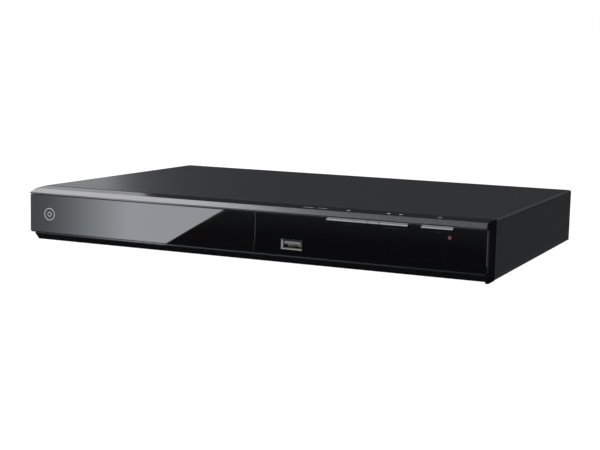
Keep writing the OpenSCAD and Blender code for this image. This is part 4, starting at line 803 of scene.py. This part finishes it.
glass = Finish("fuse_glass", (0.75, 0.78, 0.78), 0.08, Specular_IOR_Level=0.5)
low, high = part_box("mains_fuse")
cap = (glass.axis("X") - (low.x + high.x) / 2).size().above((high.x - low.x) / 2 - 5 * MM)
clip = cap.most(glass.axis("Z").below(low.z + 1.2 * MM))
metal = glass.between(glass.noise(0.4, 2.0), (0.58, 0.57, 0.53), (0.7, 0.69, 0.65))
glass.feed(glass.shader, {"Base Color": glass.between(clip, (0.72, 0.76, 0.76), metal), "Metallic": clip,
                          "Roughness": clip * 0.2 + 0.08, "Alpha": clip * 0.65 + 0.35})
smooth("mains_fuse", glass, "case")

fish = Finish("insulation_film", (0.2, 0.2, 0.19), 0.55, Specular_IOR_Level=0.35)
fish.worn((0.17, 0.17, 0.16), (0.23, 0.23, 0.22), 0.48, 0.62, fish.noise(1.2, 4.0, (0.3, 1, 1)))
fish.bump(fish.noise(0.4, 3.0), 0.01, 0.4)
fish.on("insulation_sheet")


# ---------------------------------------------------------------------------
# Wiring: flat ribbons with fine tinned conductors in white film, lead wires in red, black and grey
# between the boards, and the cream housings that they plug into.
# ---------------------------------------------------------------------------
ribbon = Finish("ribbon_white", (0.7, 0.7, 0.68), 0.35, Specular_IOR_Level=0.5)
strand = (ribbon.axis("X") / (1.25 * MM)).part()
conductor = (strand - 0.5).size().below(0.3)
ribbon.worn((0.78, 0.78, 0.76), (0.5, 0.51, 0.52), 0.3, 0.4, conductor)
ribbon.bump(conductor, 0.05, 0.5)
ribbon.on("front_ribbon", "loader_ribbon")

wires = Finish("wire_red", (0.5, 0.015, 0.012), 0.38, Specular_IOR_Level=0.45)
low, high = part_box("power_harness")
lane = (wires.axis("Y") - low.y) / (high.y - low.y)
jacket = wires.between(lane.above(0.33), (0.03, 0.03, 0.03), (0.5, 0.016, 0.013))
jacket = wires.between(lane.above(0.66), jacket, (0.3, 0.3, 0.31))
wires.feed(wires.shader, {"Base Color": jacket, "Roughness": wires.noise(1.0, 2.0) * 0.12 + 0.34})
wires.bump(wires.noise(0.6, 2.0), 0.01, 0.3)
smooth("power_harness", wires, "case")

cream = Finish("connector_cream", (0.72, 0.66, 0.5), 0.45, Specular_IOR_Level=0.45)
cream.worn((0.66, 0.6, 0.45), (0.77, 0.71, 0.56), 0.4, 0.52, cream.noise(1.0, 2.0))
cream.bump(cream.noise(0.3, 2.0), 0.01, 0.4)
rounded("ribbon_connectors", cream, "case", 0.12)


# ---------------------------------------------------------------------------
# The loader: a frame and a turntable of black glass-filled plastic, a pressed steel deck with ground
# rods, and a die-cast sled with the lens on top.
# ---------------------------------------------------------------------------
filled = Finish("loader_black", (0.022, 0.022, 0.023), 0.5, Specular_IOR_Level=0.42)
filled.worn((0.017, 0.017, 0.018), (0.028, 0.028, 0.029), 0.44, 0.6, filled.noise(0.7, 4.0))
filled.bump(filled.noise(0.35, 3.0), 0.02, 0.5)
smooth("loader_frame", filled, "case")
smooth("turntable", filled, "turntable")

deck = Finish("deck_grey", (0.3, 0.305, 0.31), 0.42, 0.7)
deck.worn((0.26, 0.265, 0.27), (0.35, 0.355, 0.36), 0.36, 0.5, deck.noise(1.4, 3.0))
deck.bump(deck.noise(0.4, 2.0), 0.01, 0.3)
rounded("traverse_deck", deck, "deck", 0.15)

ground = Finish("rod_steel", (0.62, 0.62, 0.62), 0.14, 1.0)
polish = ground.noise(0.2, 3.0, (1, 0.03, 1))
ground.worn((0.56, 0.56, 0.56), (0.68, 0.68, 0.68), 0.1, 0.2, polish)
ground.bump(polish, 0.003, 0.3)
smooth("guide_rods", ground, "deck")

cast = Finish("sled_zinc", (0.4, 0.4, 0.41), 0.45, 0.9)
cast.worn((0.33, 0.33, 0.34), (0.47, 0.47, 0.48), 0.38, 0.56, cast.noise(0.8, 4.0))
cast.bump(cast.noise(0.4, 3.0), 0.03, 0.5)
rounded("pickup_sled", cast, "sled", 0.15)

lens = Finish("lens_glass", (0.02, 0.022, 0.03), 0.06, Specular_IOR_Level=0.6)
low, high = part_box("pickup_lens")
out_x, out_y = (lens.axis(k) - (a + b) / 2 for k, a, b in (("X", low.x, high.x), ("Y", low.y, high.y)))
mount = (out_x * out_x + out_y * out_y).above((2.6 * MM) ** 2)
coated = lens.between(lens.noise(2.0, 1.0), (0.05, 0.03, 0.13), (0.03, 0.06, 0.2))
lens.feed(lens.shader, {"Base Color": lens.between(mount, coated, (0.02, 0.02, 0.021)),
                        "Roughness": mount * 0.38 + 0.06})
smooth("pickup_lens", lens, "sled")


# ---------------------------------------------------------------------------
# Motors: rolled steel cans. The loading motor drives the tray, and the deck carries the disc's
# motor and the sled's.
# ---------------------------------------------------------------------------
can = Finish("motor_can", (0.55, 0.55, 0.54), 0.28, 1.0)
rolled = can.noise(0.25, 3.0, (1, 1, 0.05))
can.worn((0.48, 0.48, 0.47), (0.62, 0.62, 0.61), 0.22, 0.36, rolled)
can.bump(rolled, 0.005, 0.3)
smooth("loading_motor", can, "case")
smooth("spindle_motor", can, "deck")
smooth("sled_motor", can, "deck")


# ---------------------------------------------------------------------------
# Gears, the cam slider and the clamper: natural acetal, slightly waxy. The sled's pinion and the
# loading motor's pulley are turned brass, and the belt is a rubber ring.
# ---------------------------------------------------------------------------
acetal = Finish("gear_acetal", (0.72, 0.71, 0.66), 0.38, Specular_IOR_Level=0.5)
acetal.worn((0.66, 0.65, 0.6), (0.78, 0.77, 0.73), 0.33, 0.46, acetal.noise(1.5, 3.0))
acetal.bump(acetal.noise(0.5, 2.0), 0.01, 0.3)
for node, body in (("sled_gear", "sled_gear"), ("pulley_gear", "pulley_gear"), ("tray_gear", "tray_gear"),
                   ("cam_slider", "cam_slider"), ("disc_clamper", "clamper")):
    smooth(node, acetal, body)

brass = Finish("brass_small", (0.62, 0.43, 0.16), 0.24, 1.0)
turned = brass.noise(0.15, 3.0, (0.3, 0.3, 1))
brass.worn((0.52, 0.35, 0.12), (0.7, 0.5, 0.2), 0.18, 0.34, turned)
brass.bump(turned, 0.005, 0.4)
smooth("sled_pinion", brass, "sled_pinion")
smooth("motor_pulley", brass, "motor_pulley")

belt = Finish("belt_black", (0.02, 0.02, 0.02), 0.7, Specular_IOR_Level=0.3)
belt.worn((0.016, 0.016, 0.016), (0.028, 0.028, 0.027), 0.62, 0.8, belt.noise(0.6, 3.0))
belt.bump(belt.noise(0.25, 2.0), 0.02, 0.5)
smooth("drive_belt", belt, "case")
